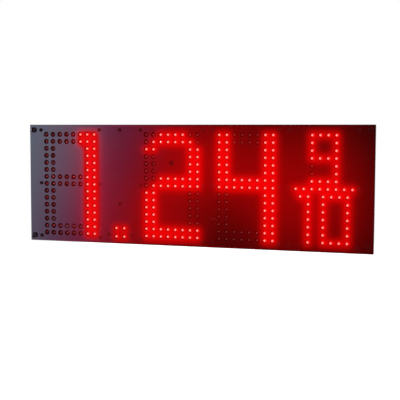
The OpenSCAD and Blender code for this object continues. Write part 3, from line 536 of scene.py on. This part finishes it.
def lit_lens():
    """A lit lamp: a pale hot middle that falls off to deep red at its side."""
    m = shader("lit lens")
    k = looks()
    stops = [
        (0.0, k.lit_core), (0.25, tinted(k.lit_core, 0.9)), (0.45, k.lit_halo), (0.65, k.lit_red),
        (1.0, k.lit_rim),
    ]
    cloud = m.noise(scale=900, detail=2.0)
    return m.finished({
        "Emission Color": m.ramp(m.stored("from_tip"), stops),
        "Emission Strength": 1.0,
        "Base Color": m.between(cloud, (0.1, 0.002, 0.002), (0.16, 0.003, 0.003)),
        "Roughness": m.ranged(cloud, low=0.1, high=0.18),
        "Specular IOR Level": 0.15,
    })


def dark_lens():
    """An unlit lamp: clear red resin, paler at the tip, partly where its inner cup shows through and partly
    as a painted highlight.
    """
    m = shader("dark lens")
    tint = looks().dark_lens
    stops = [(0.0, tint), (0.3, tint), (0.46, tinted(tint, 0.05)), (1.0, tinted(tint, 0.02))]
    m.painted_lamp_glow()
    return m.finished({
        "Base Color": m.ramp(m.stored("from_tip"), stops),
        "Roughness": m.ranged(m.noise(scale=500, detail=2.0), low=0.1, high=0.16),
        "Specular IOR Level": 0.22,
    })


def ribbon_strands():
    """Flat cable: a row of grey strands side by side."""
    m = shader("ribbon strands")
    wave = m.add("TexWave", {"Vector": m.coords(), "Scale": 120})
    wave.bands_direction = "Z"
    strands = wave.outputs["Fac"]
    return m.finished({
        "Base Color": m.ramp(strands, [(0.2, (0.2, 0.21, 0.23)), (0.8, (0.46, 0.47, 0.5))]),
        "Normal": m.bump(strands, height=0.2, strength=0.6),
        "Roughness": m.ranged(m.noise(scale=300), low=0.4, high=0.55),
    })


def solder_mask(name, tint, rough=0.28, gloss=0.5, with_painted_glow=False):
    """A circuit board: mask over copper, with paler tracks."""
    m = shader(name)
    cells = m.add("TexVoronoi", {"Vector": m.coords(), "Scale": 160, "Randomness": 0.55})
    cells.feature = "DISTANCE_TO_EDGE"
    cells.distance = "CHEBYCHEV"
    tracks = cells.outputs["Distance"]
    if with_painted_glow:
        m.painted_lamp_glow()
    return m.finished({
        "Base Color": m.ramp(tracks, [(0.04, tinted(tint, 1.9)), (0.09, tint), (0.5, tinted(tint, 0.8))]),
        "Roughness": m.ranged(m.noise(scale=500), rough - ROUGH_BY, rough + ROUGH_BY),
        "Normal": m.bump(tracks, height=0.03, strength=0.4),
        "Specular IOR Level": gloss,
    })


# Front

def lamp_rings(foot, tip, dome_steps=9):
    """Rings of a lamp from its tip to its foot."""
    s = sizes()
    radius = s.lamp_d / 2
    dome = arc((0, tip + radius), radius, 270, 360, dome_steps)
    dome[0] = (0, tip)
    rim = radius + s.lamp_rim
    collar = foot - s.lamp_rim_t
    return dome + [(radius, collar), (rim, collar), (rim, foot), (0, foot)]


def lamp_piece(node, material, across=1.0, up=1.0):
    """All lamps of a CAD node as one piece, with each point's stretched distance from its lamp's axis."""
    low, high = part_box(node)
    spots = lamp_spots(node)
    points, faces = turned(lamp_rings(high.y, low.y), looks().lamp_sides)
    from_tip = np.minimum(1, np.hypot(points[:, 0] * across, points[:, 2] * up) / (sizes().lamp_d / 2))
    every_point, every_face = scattered(points, faces, spots)
    piece = add_piece(node + "_lenses", every_point, every_face, material, node)
    paint(piece, "from_tip", np.tile(from_tip, len(spots)))
    return piece


def rounded_outline(half_w, half_h, radius, steps=5):
    """A rectangle with round corners, counter-clockwise seen from the front."""
    corners = [(1, 1, 0), (-1, 1, 90), (-1, -1, 180), (1, -1, 270)]
    loop = []
    for sx, sz, start in corners:
        middle = (sx * (half_w - radius), sz * (half_h - radius))
        loop += arc(middle, radius, start, start + 90, steps)
    return np.array(loop)


def sheet_loops(low, high, holes, corner, edge):
    """The outline of a flat box and its holes, with the solid drawn in by an edge's width."""
    middle = np.array([low.x + high.x, low.z + high.z]) / 2
    outline = rounded_outline((high.x - low.x) / 2 - edge, (high.z - low.z) / 2 - edge, corner - edge)
    return [middle + outline] + [circle((x, z), d / 2 + edge, n) for x, z, d, n in holes]


def filled(loops, inner, holes, edge, nearest=1e-5, hole_slack=0.999):
    """Triangles between an outline and its holes. Returns points, faces and each loop's point numbers."""
    flat = np.concatenate(loops + [inner])
    edges = []
    starts = np.cumsum([0] + [len(loop) for loop in loops])
    for start, loop in zip(starts.tolist(), loops):
        count = len(loop)
        edges += [(start + k, start + (k + 1) % count) for k in range(count)]
    made = delaunay_2d_cdt([Vector(p / MM) for p in flat], edges, [], 0, nearest)
    place = {old: new for new, olds in enumerate(made[3]) for old in olds}
    points = np.array([tuple(p) for p in made[0]]) * MM
    faces = np.array([f for f in made[2] if len(f) == 3])
    middles = points[faces].mean(1)
    keep = np.ones(len(faces), bool)
    for x, z, diameter, _ in holes:
        keep &= np.hypot(middles[:, 0] - x, middles[:, 1] - z) > (diameter / 2 + edge) * hole_slack
    numbers = [[place[start + k] for k in range(len(loop))] for start, loop in zip(starts.tolist(), loops)]
    return points, faces[keep], numbers


def plate_holes():
    """Every hole in the plate as (x, z, diameter, sides)."""
    s = sizes()
    sides = looks().lamp_sides
    rows = [(p, s.hole_d, sides) for node in LIT_NODES + ["dark_lamps"] for p in lamp_spots(node)]
    rows += [(p, s.sensor_hole_d, sides) for p in front_spots("light_sensor", s.sensor_hole_d)]
    rows += [(p, s.screw_hole_d, SIDES["screw hole"]) for p in screw_spots()]
    rows += [(p, s.corner_hole_d, SIDES["corner hole"]) for p in corner_spots()]
    return [(p[0], p[1], diameter, count) for p, diameter, count in rows]


def glow_at(flat):
    """The painted glow at points of the front: a tight, a middle and a wide halo around each lit lamp."""
    k = looks()
    halos = [(k.glow_near, k.near_reach), (k.glow_middle, k.middle_reach), (k.glow_far, k.far_reach)]
    glow = np.zeros(len(flat))
    for node, (*parts, moved) in GLOW_SHARE.items():
        places = lamp_spots(node) + moved * np.array(k.glow_shift)[[0, 2]]
        apart = ((flat[:, None] - places[None]) ** 2).sum(2)
        for part, (strength, reach) in zip(parts, halos):
            glow += strength * part * np.exp(-apart / (2 * reach ** 2)).sum(1)
    return glow


def paint_glow(piece, behind, part=1.0):
    """Stores the painted glow on what of a piece lies in front of a depth, with painted shade that makes it
    weaker inside the holes.
    """
    points = points_of(piece)
    depth = np.maximum(0, points[:, 1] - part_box("face_plate")[0].y)
    glow = part * glow_at(points[:, [0, 2]]) * np.exp(-depth / looks().glow_depth)
    paint(piece, "glow", np.where(points[:, 1] < behind, glow, 0))


def glow_grid(outline, holes, step):
    """Points between an outline and its holes, close enough together to carry the glow."""
    low, high = outline.min(0), outline.max(0)
    xs = np.arange(low[0] + step, high[0] - step / 2, step)
    zs = np.arange(low[1] + step, high[1] - step / 2, step)
    grid = np.stack(np.meshgrid(xs, zs), -1).reshape(-1, 2)
    keep = np.ones(len(grid), bool)
    for x, z, diameter, _ in holes:
        keep &= np.hypot(grid[:, 0] - x, grid[:, 1] - z) > diameter / 2 + step / 2
    return grid[keep]


def build_sheet(node, holes, corner, edge, step):
    """A flat CAD node with broken edges: its points and faces, and which of these line holes or face back."""
    low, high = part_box(node)
    front_loops = sheet_loops(low, high, holes, corner, edge)
    wall_loops = sheet_loops(low, high, holes, corner, 0)
    grid = glow_grid(front_loops[0], holes, step)
    front, front_faces, front_rings = filled(front_loops, grid, holes, edge)
    back, back_faces, back_rings = filled(wall_loops, grid[:0], holes, 0)
    wall = np.concatenate(wall_loops)
    layers = [(front, low.y), (wall, low.y + edge), (back, high.y)]
    points = np.concatenate([np.insert(flat, 1, depth, axis=1) for flat, depth in layers])
    wall_start = len(front)
    back_start = wall_start + len(wall)
    faces = front_faces.tolist() + (back_faces[:, ::-1] + back_start).tolist()
    backs = range(len(front_faces), len(faces))
    linings = []
    count = wall_start
    for number, loop in enumerate(wall_loops):
        around = len(loop)
        upper = front_rings[number]
        rim = list(range(count, count + around))
        lower = [back_start + i for i in back_rings[number]]
        count += around
        for ring_a, ring_b in ((upper, rim), (rim, lower)):
            for k in range(around):
                j = (k + 1) % around
                quad = [ring_a[k], ring_a[j], ring_b[j], ring_b[k]]
                faces.append(quad if number else quad[::-1])
        if number:
            linings += range(len(faces) - 2 * around, len(faces))
    return points, faces, linings, backs


def second_finish(piece, material, numbers):
    """Gives some faces of a piece another finish."""
    piece.data.materials.append(material)
    for number in numbers:
        piece.data.polygons[number].material_index = len(piece.data.materials) - 1


def screw_rings(front, seat, tip, head_d, drive_w, crown, shank_rings, dome_steps=7):
    """Rings of a screw with a crowned head and a hexagon recess, from its front to its tip."""
    s = sizes()
    floor = (front + seat) / 2
    radius = head_d / 2
    lip_r = drive_w / 2 + s.drive_lip
    ball = (radius ** 2 + crown ** 2) / (2 * crown)
    start = math.degrees(math.acos(lip_r / ball))
    stop = math.degrees(math.acos(radius / ball))
    cap = arc((0, ball), ball, 360 - start, 360 - stop, dome_steps)
    sink = cap[0][1]
    dome = [(r, front + depth - sink) for r, depth in cap]
    recess = [(0, floor), (drive_w / 2, floor, "hex"), (drive_w / 2, front + s.drive_sink, "hex")]
    return recess + dome + [(radius, seat)] + shank_rings + [(0, tip)]


def screw_piece(node, rings, sides, spots, material, smooth_angle=SMOOTH_ANGLE):
    """All screws of a CAD node as one piece, with the lamps' glow painted on their heads."""
    points, faces = scattered(*turned(rings, sides), spots)
    piece = add_piece(node + "_cut", points, faces, material, node, smooth_angle=smooth_angle)
    paint_glow(piece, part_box("face_plate")[0].y + MM, looks().screw_share)


class DISPLAY_OT_face_plate(bpy.types.Operator):
    """Builds the coated face plate with its holes and the lamps' glow painted on it"""

    bl_idname = "display.face_plate"
    bl_label = "Face plate"

    def execute(self, context):
        s = sizes()
        sheet = build_sheet("face_plate", plate_holes(), s.plate_corner, s.plate_edge, s.plate_step)
        points, faces, linings, backs = sheet
        piece = add_piece("face_plate_coated", points, faces, coat_with_painted_glow(), "face_plate")
        lining = finish("hole lining", looks().coat, 0.75, depth=0.03, gloss=0.1, with_painted_glow=True)
        second_finish(piece, lining, linings)
        second_finish(piece, finish("plate back", looks().coat, 0.5, depth=0.03), backs)
        paint_glow(piece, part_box("face_plate")[1].y + MM)
        return {"FINISHED"}


class DISPLAY_OT_lamp_boards(bpy.types.Operator):
    """Builds the lamp boards, with the lamps' glow painted on them"""

    bl_idname = "display.lamp_boards"
    bl_label = "Lamp boards"

    def execute(self, context):
        s = sizes()
        front = solder_mask("black mask", (0.004, 0.0045, 0.0045), rough=0.6, gloss=0.03, with_painted_glow=True)
        back = solder_mask("black mask back", (0.008, 0.009, 0.009))
        screws = screw_spots()
        for node in BOARD_NODES:
            low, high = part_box(node)
            inside = [p for p in screws if low.x < p[0] < high.x and low.z < p[1] < high.z]
            holes = [(x, z, s.screw_hole_d, SIDES["screw hole"]) for x, z in inside]
            points, faces, _, backs = build_sheet(node, holes, s.board_corner, s.board_edge, s.board_step)
            piece = add_piece(node + "_masked", points, faces, front, node)
            second_finish(piece, back, backs)
            paint_glow(piece, high.y)
        return {"FINISHED"}


class DISPLAY_OT_lamps(bpy.types.Operator):
    """Builds the lit and the unlit lamps"""

    bl_idname = "display.lamps"
    bl_label = "Lamps"

    def execute(self, context):
        lit = lit_lens()
        for node in LIT_NODES:
            lamp_piece(node, lit)
        # The pale tip, partly a painted highlight, is stretched wider across than up.
        dark = lamp_piece("dark_lamps", dark_lens(), across=0.75, up=1.3)
        paint_glow(dark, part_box("dark_lamps")[1].y + MM)
        lens = finish(
            "sensor lens", (0.006, 0.002, 0.003), 0.3, grain=400, depth=0.01, gloss=0.05, with_painted_glow=True
        )
        sensor = eased("light_sensor", sizes().metal_edge, lens)
        paint_glow(sensor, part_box("face_plate")[1].y, looks().sensor_share)
        return {"FINISHED"}


class DISPLAY_OT_front_screws(bpy.types.Operator):
    """Builds the board screws and the corner screws"""

    bl_idname = "display.front_screws"
    bl_label = "Front screws"

    def execute(self, context):
        s = sizes()
        oxide = finish(
            "black oxide", (0.003, 0.003, 0.004), 0.36, grain=1500, depth=0.02, gloss=0.03, with_painted_glow=True
        )
        low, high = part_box("board_screws")
        shank = [(s.screw_d / 2, low.y + s.head_h), (s.screw_d / 2, high.y)]
        rings = screw_rings(low.y, low.y + s.head_h, high.y, s.head_d, s.drive_w, s.head_crown, shank)
        screw_piece("board_screws", rings, SIDES["board screw"], screw_spots(), oxide)

        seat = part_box("face_plate")[0].y
        low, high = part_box("corner_screws")
        ear_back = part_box("rear_frame")[0].y + (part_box("rear_cover")[1].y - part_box("rear_cover")[0].y)
        shank = [(s.corner_shoulder_d / 2, seat), (s.corner_shoulder_d / 2, ear_back)]
        shank += [(s.corner_groove_d / 2, ear_back), (s.corner_groove_d / 2, 0.0)]
        crest_r = s.corner_d / 2
        root_r = crest_r - s.thread_depth
        turns = int((high.y - s.thread_pitch) / s.thread_pitch)
        for turn in range(turns):
            start = turn * s.thread_pitch
            shank.append((root_r, start))
            shank.append((crest_r, start + (s.thread_pitch - s.thread_crest) / 2))
            shank.append((crest_r, start + (s.thread_pitch + s.thread_crest) / 2))
        shank += [(root_r, turns * s.thread_pitch), (root_r, high.y)]
        rings = screw_rings(low.y, seat, high.y, s.corner_head_d, s.corner_drive_w, s.corner_crown, shank)
        screw_piece("corner_screws", rings, SIDES["corner screw"], corner_spots(), oxide, smooth_angle=25.0)
        return {"FINISHED"}


# Rear

def prism(loop, depth_a, depth_b):
    """A flat shape drawn in X and Z, standing from one depth to another, with its front at depth_b."""
    count = len(loop)
    points = [(x, depth_a, z) for x, z in loop] + [(x, depth_b, z) for x, z in loop]
    faces = [list(range(count)), list(range(2 * count - 1, count - 1, -1))]
    faces += [[(k + 1) % count, k, count + k, count + (k + 1) % count] for k in range(count)]
    return np.array(points), faces


def ring_prism(outer, inner, depth_a, depth_b):
    """A ring drawn in X and Z, standing from one depth to another."""
    n = len(outer)
    points = [(x, d, z) for d in (depth_a, depth_b) for loop in (outer, inner) for x, z in loop]
    oa, ia, ob, ib = 0, n, 2 * n, 3 * n
    faces = []
    for k in range(n):
        j = (k + 1) % n
        faces += [[ob + j, ob + k, ib + k, ib + j], [oa + k, oa + j, ia + j, ia + k]]
        faces += [[oa + j, oa + k, ob + k, ob + j], [ia + k, ia + j, ib + j, ib + k]]
    return np.array(points), faces


class DISPLAY_OT_housing(bpy.types.Operator):
    """Dresses the housing, its cover and their screws"""

    bl_idname = "display.housing"
    bl_label = "Housing"

    def execute(self, context):
        s = sizes()
        coat = finish("textured coat", looks().housing, 0.52, grain=1100, depth=0.16, mottle=0.15)
        eased("rear_frame", s.sheet_edge, coat)
        eased("rear_cover", s.sheet_edge, coat)
        zinc = finish("zinc plate", (0.55, 0.55, 0.53), 0.32, grain=1400, depth=0.02, metal=1.0)
        for node in ["rear_screws", "frame_nuts", "frame_studs", "corner_clips"]:
            eased(node, s.metal_edge, zinc)
        return {"FINISHED"}


class DISPLAY_OT_switch(bpy.types.Operator):
    """Dresses the power switch and marks its rocker"""

    bl_idname = "display.switch"
    bl_label = "Power switch"

    def execute(self, context):
        s = sizes()
        shell = finish("switch shell", (0.012, 0.012, 0.012), 0.42, grain=1300)
        red = finish("rocker red", (0.36, 0.008, 0.01), 0.22, grain=700, depth=0.02, coat=0.3)
        white = finish("mark white", (0.75, 0.75, 0.73), 0.4, depth=0.02)
        eased("switch_body", s.moulded_edge, shell)
        eased("switch_rocker", s.moulded_edge, red)
        lean, top, half, dip = math.radians(10), 5.2 * MM, 6.8 * MM, 1.0 * MM
        bar_w, bar_h, ring_r, ring_w = 0.7 * MM, 3.2 * MM, 1.6 * MM, 0.55 * MM
        x, z, rise = bar_w / 2, bar_h / 2, s.mark_rise
        bar = prism([(-x, -z), (x, -z), (x, z), (-x, z)], -rise, rise)
        rings = [circle((0, 0), radius, SIDES["mark"]) for radius in (ring_r, ring_r - ring_w)]
        ring = ring_prism(*rings, -rise, rise)
        rocker = Matrix.Translation(joints["power_rocker"]["pos_m"]) @ Matrix.Rotation(lean, 4, "X")
        tilt = math.atan2(dip, half)
        for name, side, (points, faces) in (("on", 1, bar), ("off", -1, ring)):
            seat = Matrix.Translation((0, top - dip / 2, side * half / 2))
            place = rocker @ seat @ Matrix.Rotation(side * -tilt, 4, "X")
            moved = [place @ Vector(p) for p in points]
            add_piece("rocker_mark_" + name, moved, faces, white, "switch_rocker", extra=True)
        return {"FINISHED"}


class DISPLAY_OT_buttons(bpy.types.Operator):
    """Dresses the setting buttons and raises a mark on each"""

    bl_idname = "display.buttons"
    bl_label = "Setting buttons"

    def execute(self, context):
        s = sizes()
        grey = finish("key grey", (0.3, 0.3, 0.31), 0.45, grain=1300)
        ink = finish("key mark", (0.03, 0.03, 0.032), 0.4, depth=0.02)
        mark_r, hole_r = 1.7 * MM, 1.02 * MM
        for node, points_to in (("set_button", None), ("up_button", 90), ("down_button", 270)):
            eased(node, s.moulded_edge, grey)
            low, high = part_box(node)
            middle = ((low.x + high.x) / 2, (low.z + high.z) / 2)
            depths = (high.y - s.mark_rise, high.y + s.mark_rise)
            if points_to is None:
                rings = [circle(middle, radius, SIDES["mark"]) for radius in (mark_r, hole_r)]
                shape = ring_prism(*rings, *depths)
            else:
                shape = prism(circle(middle, mark_r, 3, math.radians(points_to)), *depths)
            add_piece(node + "_mark", *shape, ink, node, extra=True)
        return {"FINISHED"}


class DISPLAY_OT_gland(bpy.types.Operator):
    """Dresses the cable gland"""

    bl_idname = "display.gland"
    bl_label = "Cable gland"

    def execute(self, context):
        s = sizes()
        nylon = finish("gland nylon", (0.014, 0.014, 0.015), 0.46, grain=1000, depth=0.06)
        rubber = finish("seal rubber", (0.03, 0.03, 0.031), 0.68, grain=1200, depth=0.08)
        for node in ["gland_body", "gland_cap", "gland_nut"]:
            eased(node, s.gland_edge, nylon, steps=3)
        eased("gland_seal", s.moulded_edge, rubber)
        return {"FINISHED"}


class DISPLAY_OT_antenna(bpy.types.Operator):
    """Dresses the antenna, its hinge and its socket"""

    bl_idname = "display.antenna"
    bl_label = "Antenna"

    def execute(self, context):
        s = sizes()
        rubber = finish("antenna rubber", (0.014, 0.014, 0.015), 0.55, grain=1000, depth=0.07)
        brass = finish("socket brass", (0.62, 0.42, 0.16), 0.28, grain=1500, depth=0.02, metal=1.0)
        steel = finish("pin steel", (0.55, 0.55, 0.56), 0.25, grain=1500, depth=0.02, metal=1.0)
        eased("antenna_whip", s.moulded_edge, rubber)
        eased("antenna_knuckle", s.moulded_edge, rubber)
        eased("antenna_nut", s.metal_edge, brass)
        eased("antenna_socket", s.metal_edge, brass)
        eased("antenna_pin", s.metal_edge, steel)
        low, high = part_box("antenna_whip")
        middle_x = (low.x + high.x) / 2
        middle_y = (low.y + high.y) / 2
        hinge_z = joints["antenna_tilt"]["pos_m"][2]
        ribs, rib_first, rib_gap = 4, 9.0 * MM, 3.0 * MM
        rib_t, rib_r, side_r = 1.2 * MM, 4.75 * MM, 4.2 * MM
        half = [(0, -rib_t / 2), (side_r, -rib_t / 2), (rib_r, -rib_t / 4)]
        points, faces = turned(half + [(radius, -z) for radius, z in half[::-1]], SIDES["rib"])
        for number in range(ribs):
            z = hinge_z + rib_first + number * rib_gap
            upright = [(middle_x + p[0], middle_y - p[2], z + p[1]) for p in points]
            add_piece("whip_rib_%d" % number, upright, faces, rubber, "antenna_whip", extra=True)
        return {"FINISHED"}


class DISPLAY_OT_insides(bpy.types.Operator):
    """Gives every piece inside the housing its finish"""

    bl_idname = "display.insides"
    bl_label = "Insides"

    def execute(self, context):
        epoxy = finish("chip epoxy", (0.016, 0.016, 0.017), 0.5, grain=1500, depth=0.04)
        nylon = finish("natural nylon", (0.62, 0.59, 0.5), 0.5, grain=700, depth=0.04)
        sheet = finish(
            "supply sheet", (0.55, 0.56, 0.58), 0.38, grain=1200, depth=0.02, metal=1.0, stretch=(0.1, 1, 1)
        )
        leads = {"rough": 0.42, "depth": 0.03}
        dressed = [
            (finish("gasket foam", (0.02, 0.02, 0.02), 0.85, grain=1800, depth=0.2), ["plate_gasket"]),
            (nylon, ["board_spacers", "ribbon_clip"]),
            (bpy.data.materials["zinc plate"], ["board_nuts", "cover_nuts"]),
            (epoxy, ["driver_chips", "board_headers", "controller_chips", "controller_header"]),
            (epoxy, ["button_switches", "supply_parts", "supply_terminals"]),
            (ribbon_strands(), ["board_ribbons", "feed_ribbon"]),
            (sheet, ["supply_case"]),
            (solder_mask("bare laminate", (0.3, 0.19, 0.06)), ["supply_board"]),
            (solder_mask("blue mask", (0.012, 0.05, 0.12)), ["controller_board"]),
            (bpy.data.materials["socket brass"], ["controller_posts", "switch_tabs"]),
            (finish("tinned can", (0.5, 0.51, 0.53), 0.3, depth=0.02, metal=1.0), ["radio_module"]),
            (finish("brown insulation", (0.1, 0.045, 0.02), **leads), ["mains_leads"]),
            (finish("red insulation", (0.35, 0.015, 0.015), **leads), ["supply_leads"]),
            (finish("black insulation", (0.014, 0.014, 0.014), **leads), ["antenna_lead"]),
        ]
        for material, names in dressed:
            for name in names:
                nodes[name].data.materials.clear()
                nodes[name].data.materials.append(material)
        return {"FINISHED"}


# Stage

class StudioSettings(bpy.types.PropertyGroup):
    """Camera, lights and surroundings."""

    azimuth: degrees("Azimuth", "How far the camera stands to the right of the plate's axis", 17.36)
    elevation: degrees("Elevation", "How far the camera looks down", 4.37)
    roll: degrees("Roll", "How far the camera is turned about its own axis", 0.17)
    aim: spot("Aim", "Point of the plate that the camera aims at, across and up", (11.55, 0.0, -19.1))
    distance: size("Distance", "Distance from the camera to that point", 1187.0)
    lens: share("Lens", "Focal length of the camera, for a sensor of 36 units", 77.4)
    panel_light: share("Panel light", "Brightness of the panel that the plate's left mirrors", 4.2)
    panel_pale: colour("Panel end", "Colour of that panel at its bright end", (0.55, 0.66, 0.88))
    panel_violet: colour("Panel violet", "Colour of that panel past its bright end", (0.42, 0.25, 0.47))
    panel_plum: colour("Panel plum", "Colour of that panel where it darkens", (0.42, 0.055, 0.22))
    panel_red: colour("Panel red", "Colour of that panel where the lamps redden it", (0.36, 0.0, 0.0))
    key: share("Key", "Strength of the soft light at the left", 1.5)
    key_tint: colour("Key tint", "Colour of that light", (0.85, 0.85, 1.0))
    key_fan: degrees("Key fan", "How far that light fans out", 8)
    fill: share("Fill", "Strength of the soft light above", 9.0)
    rear_fill: share("Rear fill", "Strength of the soft light behind", 20.7)
    surroundings: share("Surroundings", "Strength of the even light from all around", 0.55)


def studio():
    return bpy.context.scene.display_studio


def soft_light(name, power, tint=WHITE, fan=math.pi):
    """A soft rectangular light, whose light fans out up to an angle."""
    place, target, width, height = SOFT_LIGHTS[name]
    data = bpy.data.lights.new(name, "AREA")
    data.shape = "RECTANGLE"
    data.size = width
    data.size_y = height
    data.energy = power
    data.spread = fan
    data.color = tint
    light = add_object(name, data)
    light.location = place
    light.rotation_euler = (Vector(target) - Vector(place)).to_track_quat("-Z", "Y").to_euler()
    light.visible_camera = False


def white_world():
    """White where it is seen, and a plain even light elsewhere."""
    m = Shader(bpy.data.worlds.new("white room"), "Background")
    level = m.ranged(m.seen_rays(), studio().surroundings, 1.0, span=(0.0, 1.0))
    bpy.context.scene.world = m.finished({"Color": (*WHITE, 1), "Strength": level})


def pale_floor():
    """Pale and plain near the middle, where shadows fall, and white further out."""
    m = shader("pale floor")
    outwards = m.maths("VectorMath", "LENGTH", m.coords())
    fade = m.ranged(outwards, 0.0, 1.0, FLOOR_SPAN)
    fade.node.interpolation_type = "SMOOTHSTEP"
    return m.finished({
        "Base Color": m.between(m.noise(scale=90), (0.8, 0.8, 0.8), (0.84, 0.84, 0.84)),
        "Roughness": 0.9,
        "Specular IOR Level": 0.0,
        "Emission Color": (*WHITE, 1),
        "Emission Strength": m.maths("Math", "MULTIPLY", fade, m.seen_rays()),
    })


def fading_panel():
    """A black cloth that turns into a soft violet light towards its left, further right at its top."""
    m = shader("fading panel")
    t = studio()
    slant = (1.0, 0.0, -0.45)
    across = m.maths("VectorMath", "DOT_PRODUCT", m.coords(), slant)
    stops = [
        (0.0, t.panel_pale), (0.24, t.panel_violet), (0.36, t.panel_plum), (0.6, t.panel_red),
        (0.7, t.panel_red), (0.84, tinted(t.panel_red, 0.55)), (1.0, (0, 0, 0)),
    ]
    mirrored = m.add("LightPath").outputs["Is Glossy Ray"]
    m.owner.cycles.emission_sampling = "NONE"
    return m.finished({
        "Emission Color": m.ramp(m.ranged(across, 0.0, 1.0, PANEL_SPAN), stops),
        "Emission Strength": m.maths("Math", "MULTIPLY", mirrored, t.panel_light),
        "Base Color": (0.002, 0.002, 0.002, 1),
        "Roughness": 1.0,
        "Specular IOR Level": 0.0,
    })


def stage_sheet(name, corners, material):
    """A flat sheet of the stage."""
    mesh = bpy.data.meshes.new(name)
    mesh.from_pydata(corners, [], [list(range(len(corners)))])
    mesh.materials.append(material)
    sheet = add_object(name, mesh)
    return sheet


class DISPLAY_OT_stage(bpy.types.Operator):
    """Sets up the floor, the lights, the surroundings and the camera"""

    bl_idname = "display.stage"
    bl_label = "Stage"

    def execute(self, context):
        t = studio()
        floor_z, floor_r = -1.2, 9.0
        round_floor = [(x, y, 0) for x, y in circle((0, 0), floor_r, SIDES["floor"])]
        stage_sheet("floor", round_floor, pale_floor()).location.z = floor_z
        depth, left, right, low, high = -1.6, -1.35, 1.6, -0.8, 0.35
        corners = [(left, depth, low), (right, depth, low), (right, depth, high), (left, depth, high)]
        stage_sheet("fading_panel", corners, fading_panel()).visible_camera = False
        soft_light("gridded softbox", t.key, t.key_tint, t.key_fan)
        soft_light("top softbox", t.fill)
        soft_light("rear softbox", t.rear_fill)
        white_world()

        level = math.cos(t.elevation)
        back = Vector((math.sin(t.azimuth) * level, -math.cos(t.azimuth) * level, math.sin(t.elevation)))
        data = bpy.data.cameras.new("camera")
        data.lens = t.lens
        data.sensor_width = 36
        camera = add_object("camera", data)
        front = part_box("face_plate")[0].y
        camera.location = Vector((t.aim[0], front, t.aim[2])) + back * t.distance
        turn = (-back).to_track_quat("-Z", "Y").to_matrix() @ Matrix.Rotation(t.roll, 3, "Z")
        camera.rotation_euler = turn.to_euler()
        context.scene.camera = camera
        context.scene.view_settings.view_transform = "Standard"
        return {"FINISHED"}


class DISPLAY_PT_panel(bpy.types.Panel):
    """Lists the steps that dress the display"""

    bl_idname = "DISPLAY_PT_panel"
    bl_label = "Price display"
    bl_space_type = "VIEW_3D"
    bl_region_type = "UI"
    bl_category = "Display"

    def draw(self, context):
        for step in STEPS:
            self.layout.operator(step.bl_idname)


STEPS = [
    DISPLAY_OT_stage,
    DISPLAY_OT_face_plate,
    DISPLAY_OT_lamp_boards,
    DISPLAY_OT_lamps,
    DISPLAY_OT_front_screws,
    DISPLAY_OT_housing,
    DISPLAY_OT_switch,
    DISPLAY_OT_buttons,
    DISPLAY_OT_gland,
    DISPLAY_OT_antenna,
    DISPLAY_OT_insides,
]
GROUPS = {"display_sizes": DisplaySizes, "display_looks": DisplayLooks, "display_studio": StudioSettings}
CLASSES = [*GROUPS.values(), *STEPS, DISPLAY_PT_panel]


def register():
    for kind in CLASSES:
        bpy.utils.register_class(kind)
    for name, group in GROUPS.items():
        setattr(bpy.types.Scene, name, PointerProperty(type=group))


def unregister():
    for name in GROUPS:
        delattr(bpy.types.Scene, name)
    for kind in reversed(CLASSES):
        bpy.utils.unregister_class(kind)


def main():
    register()
    bpy.ops.display.stage()
    bpy.ops.display.face_plate()
    bpy.ops.display.lamp_boards()
    bpy.ops.display.lamps()
    bpy.ops.display.front_screws()
    bpy.ops.display.housing()
    bpy.ops.display.switch()
    bpy.ops.display.buttons()
    bpy.ops.display.gland()
    bpy.ops.display.antenna()
    bpy.ops.display.insides()


if __name__ == "__main__":
    main()
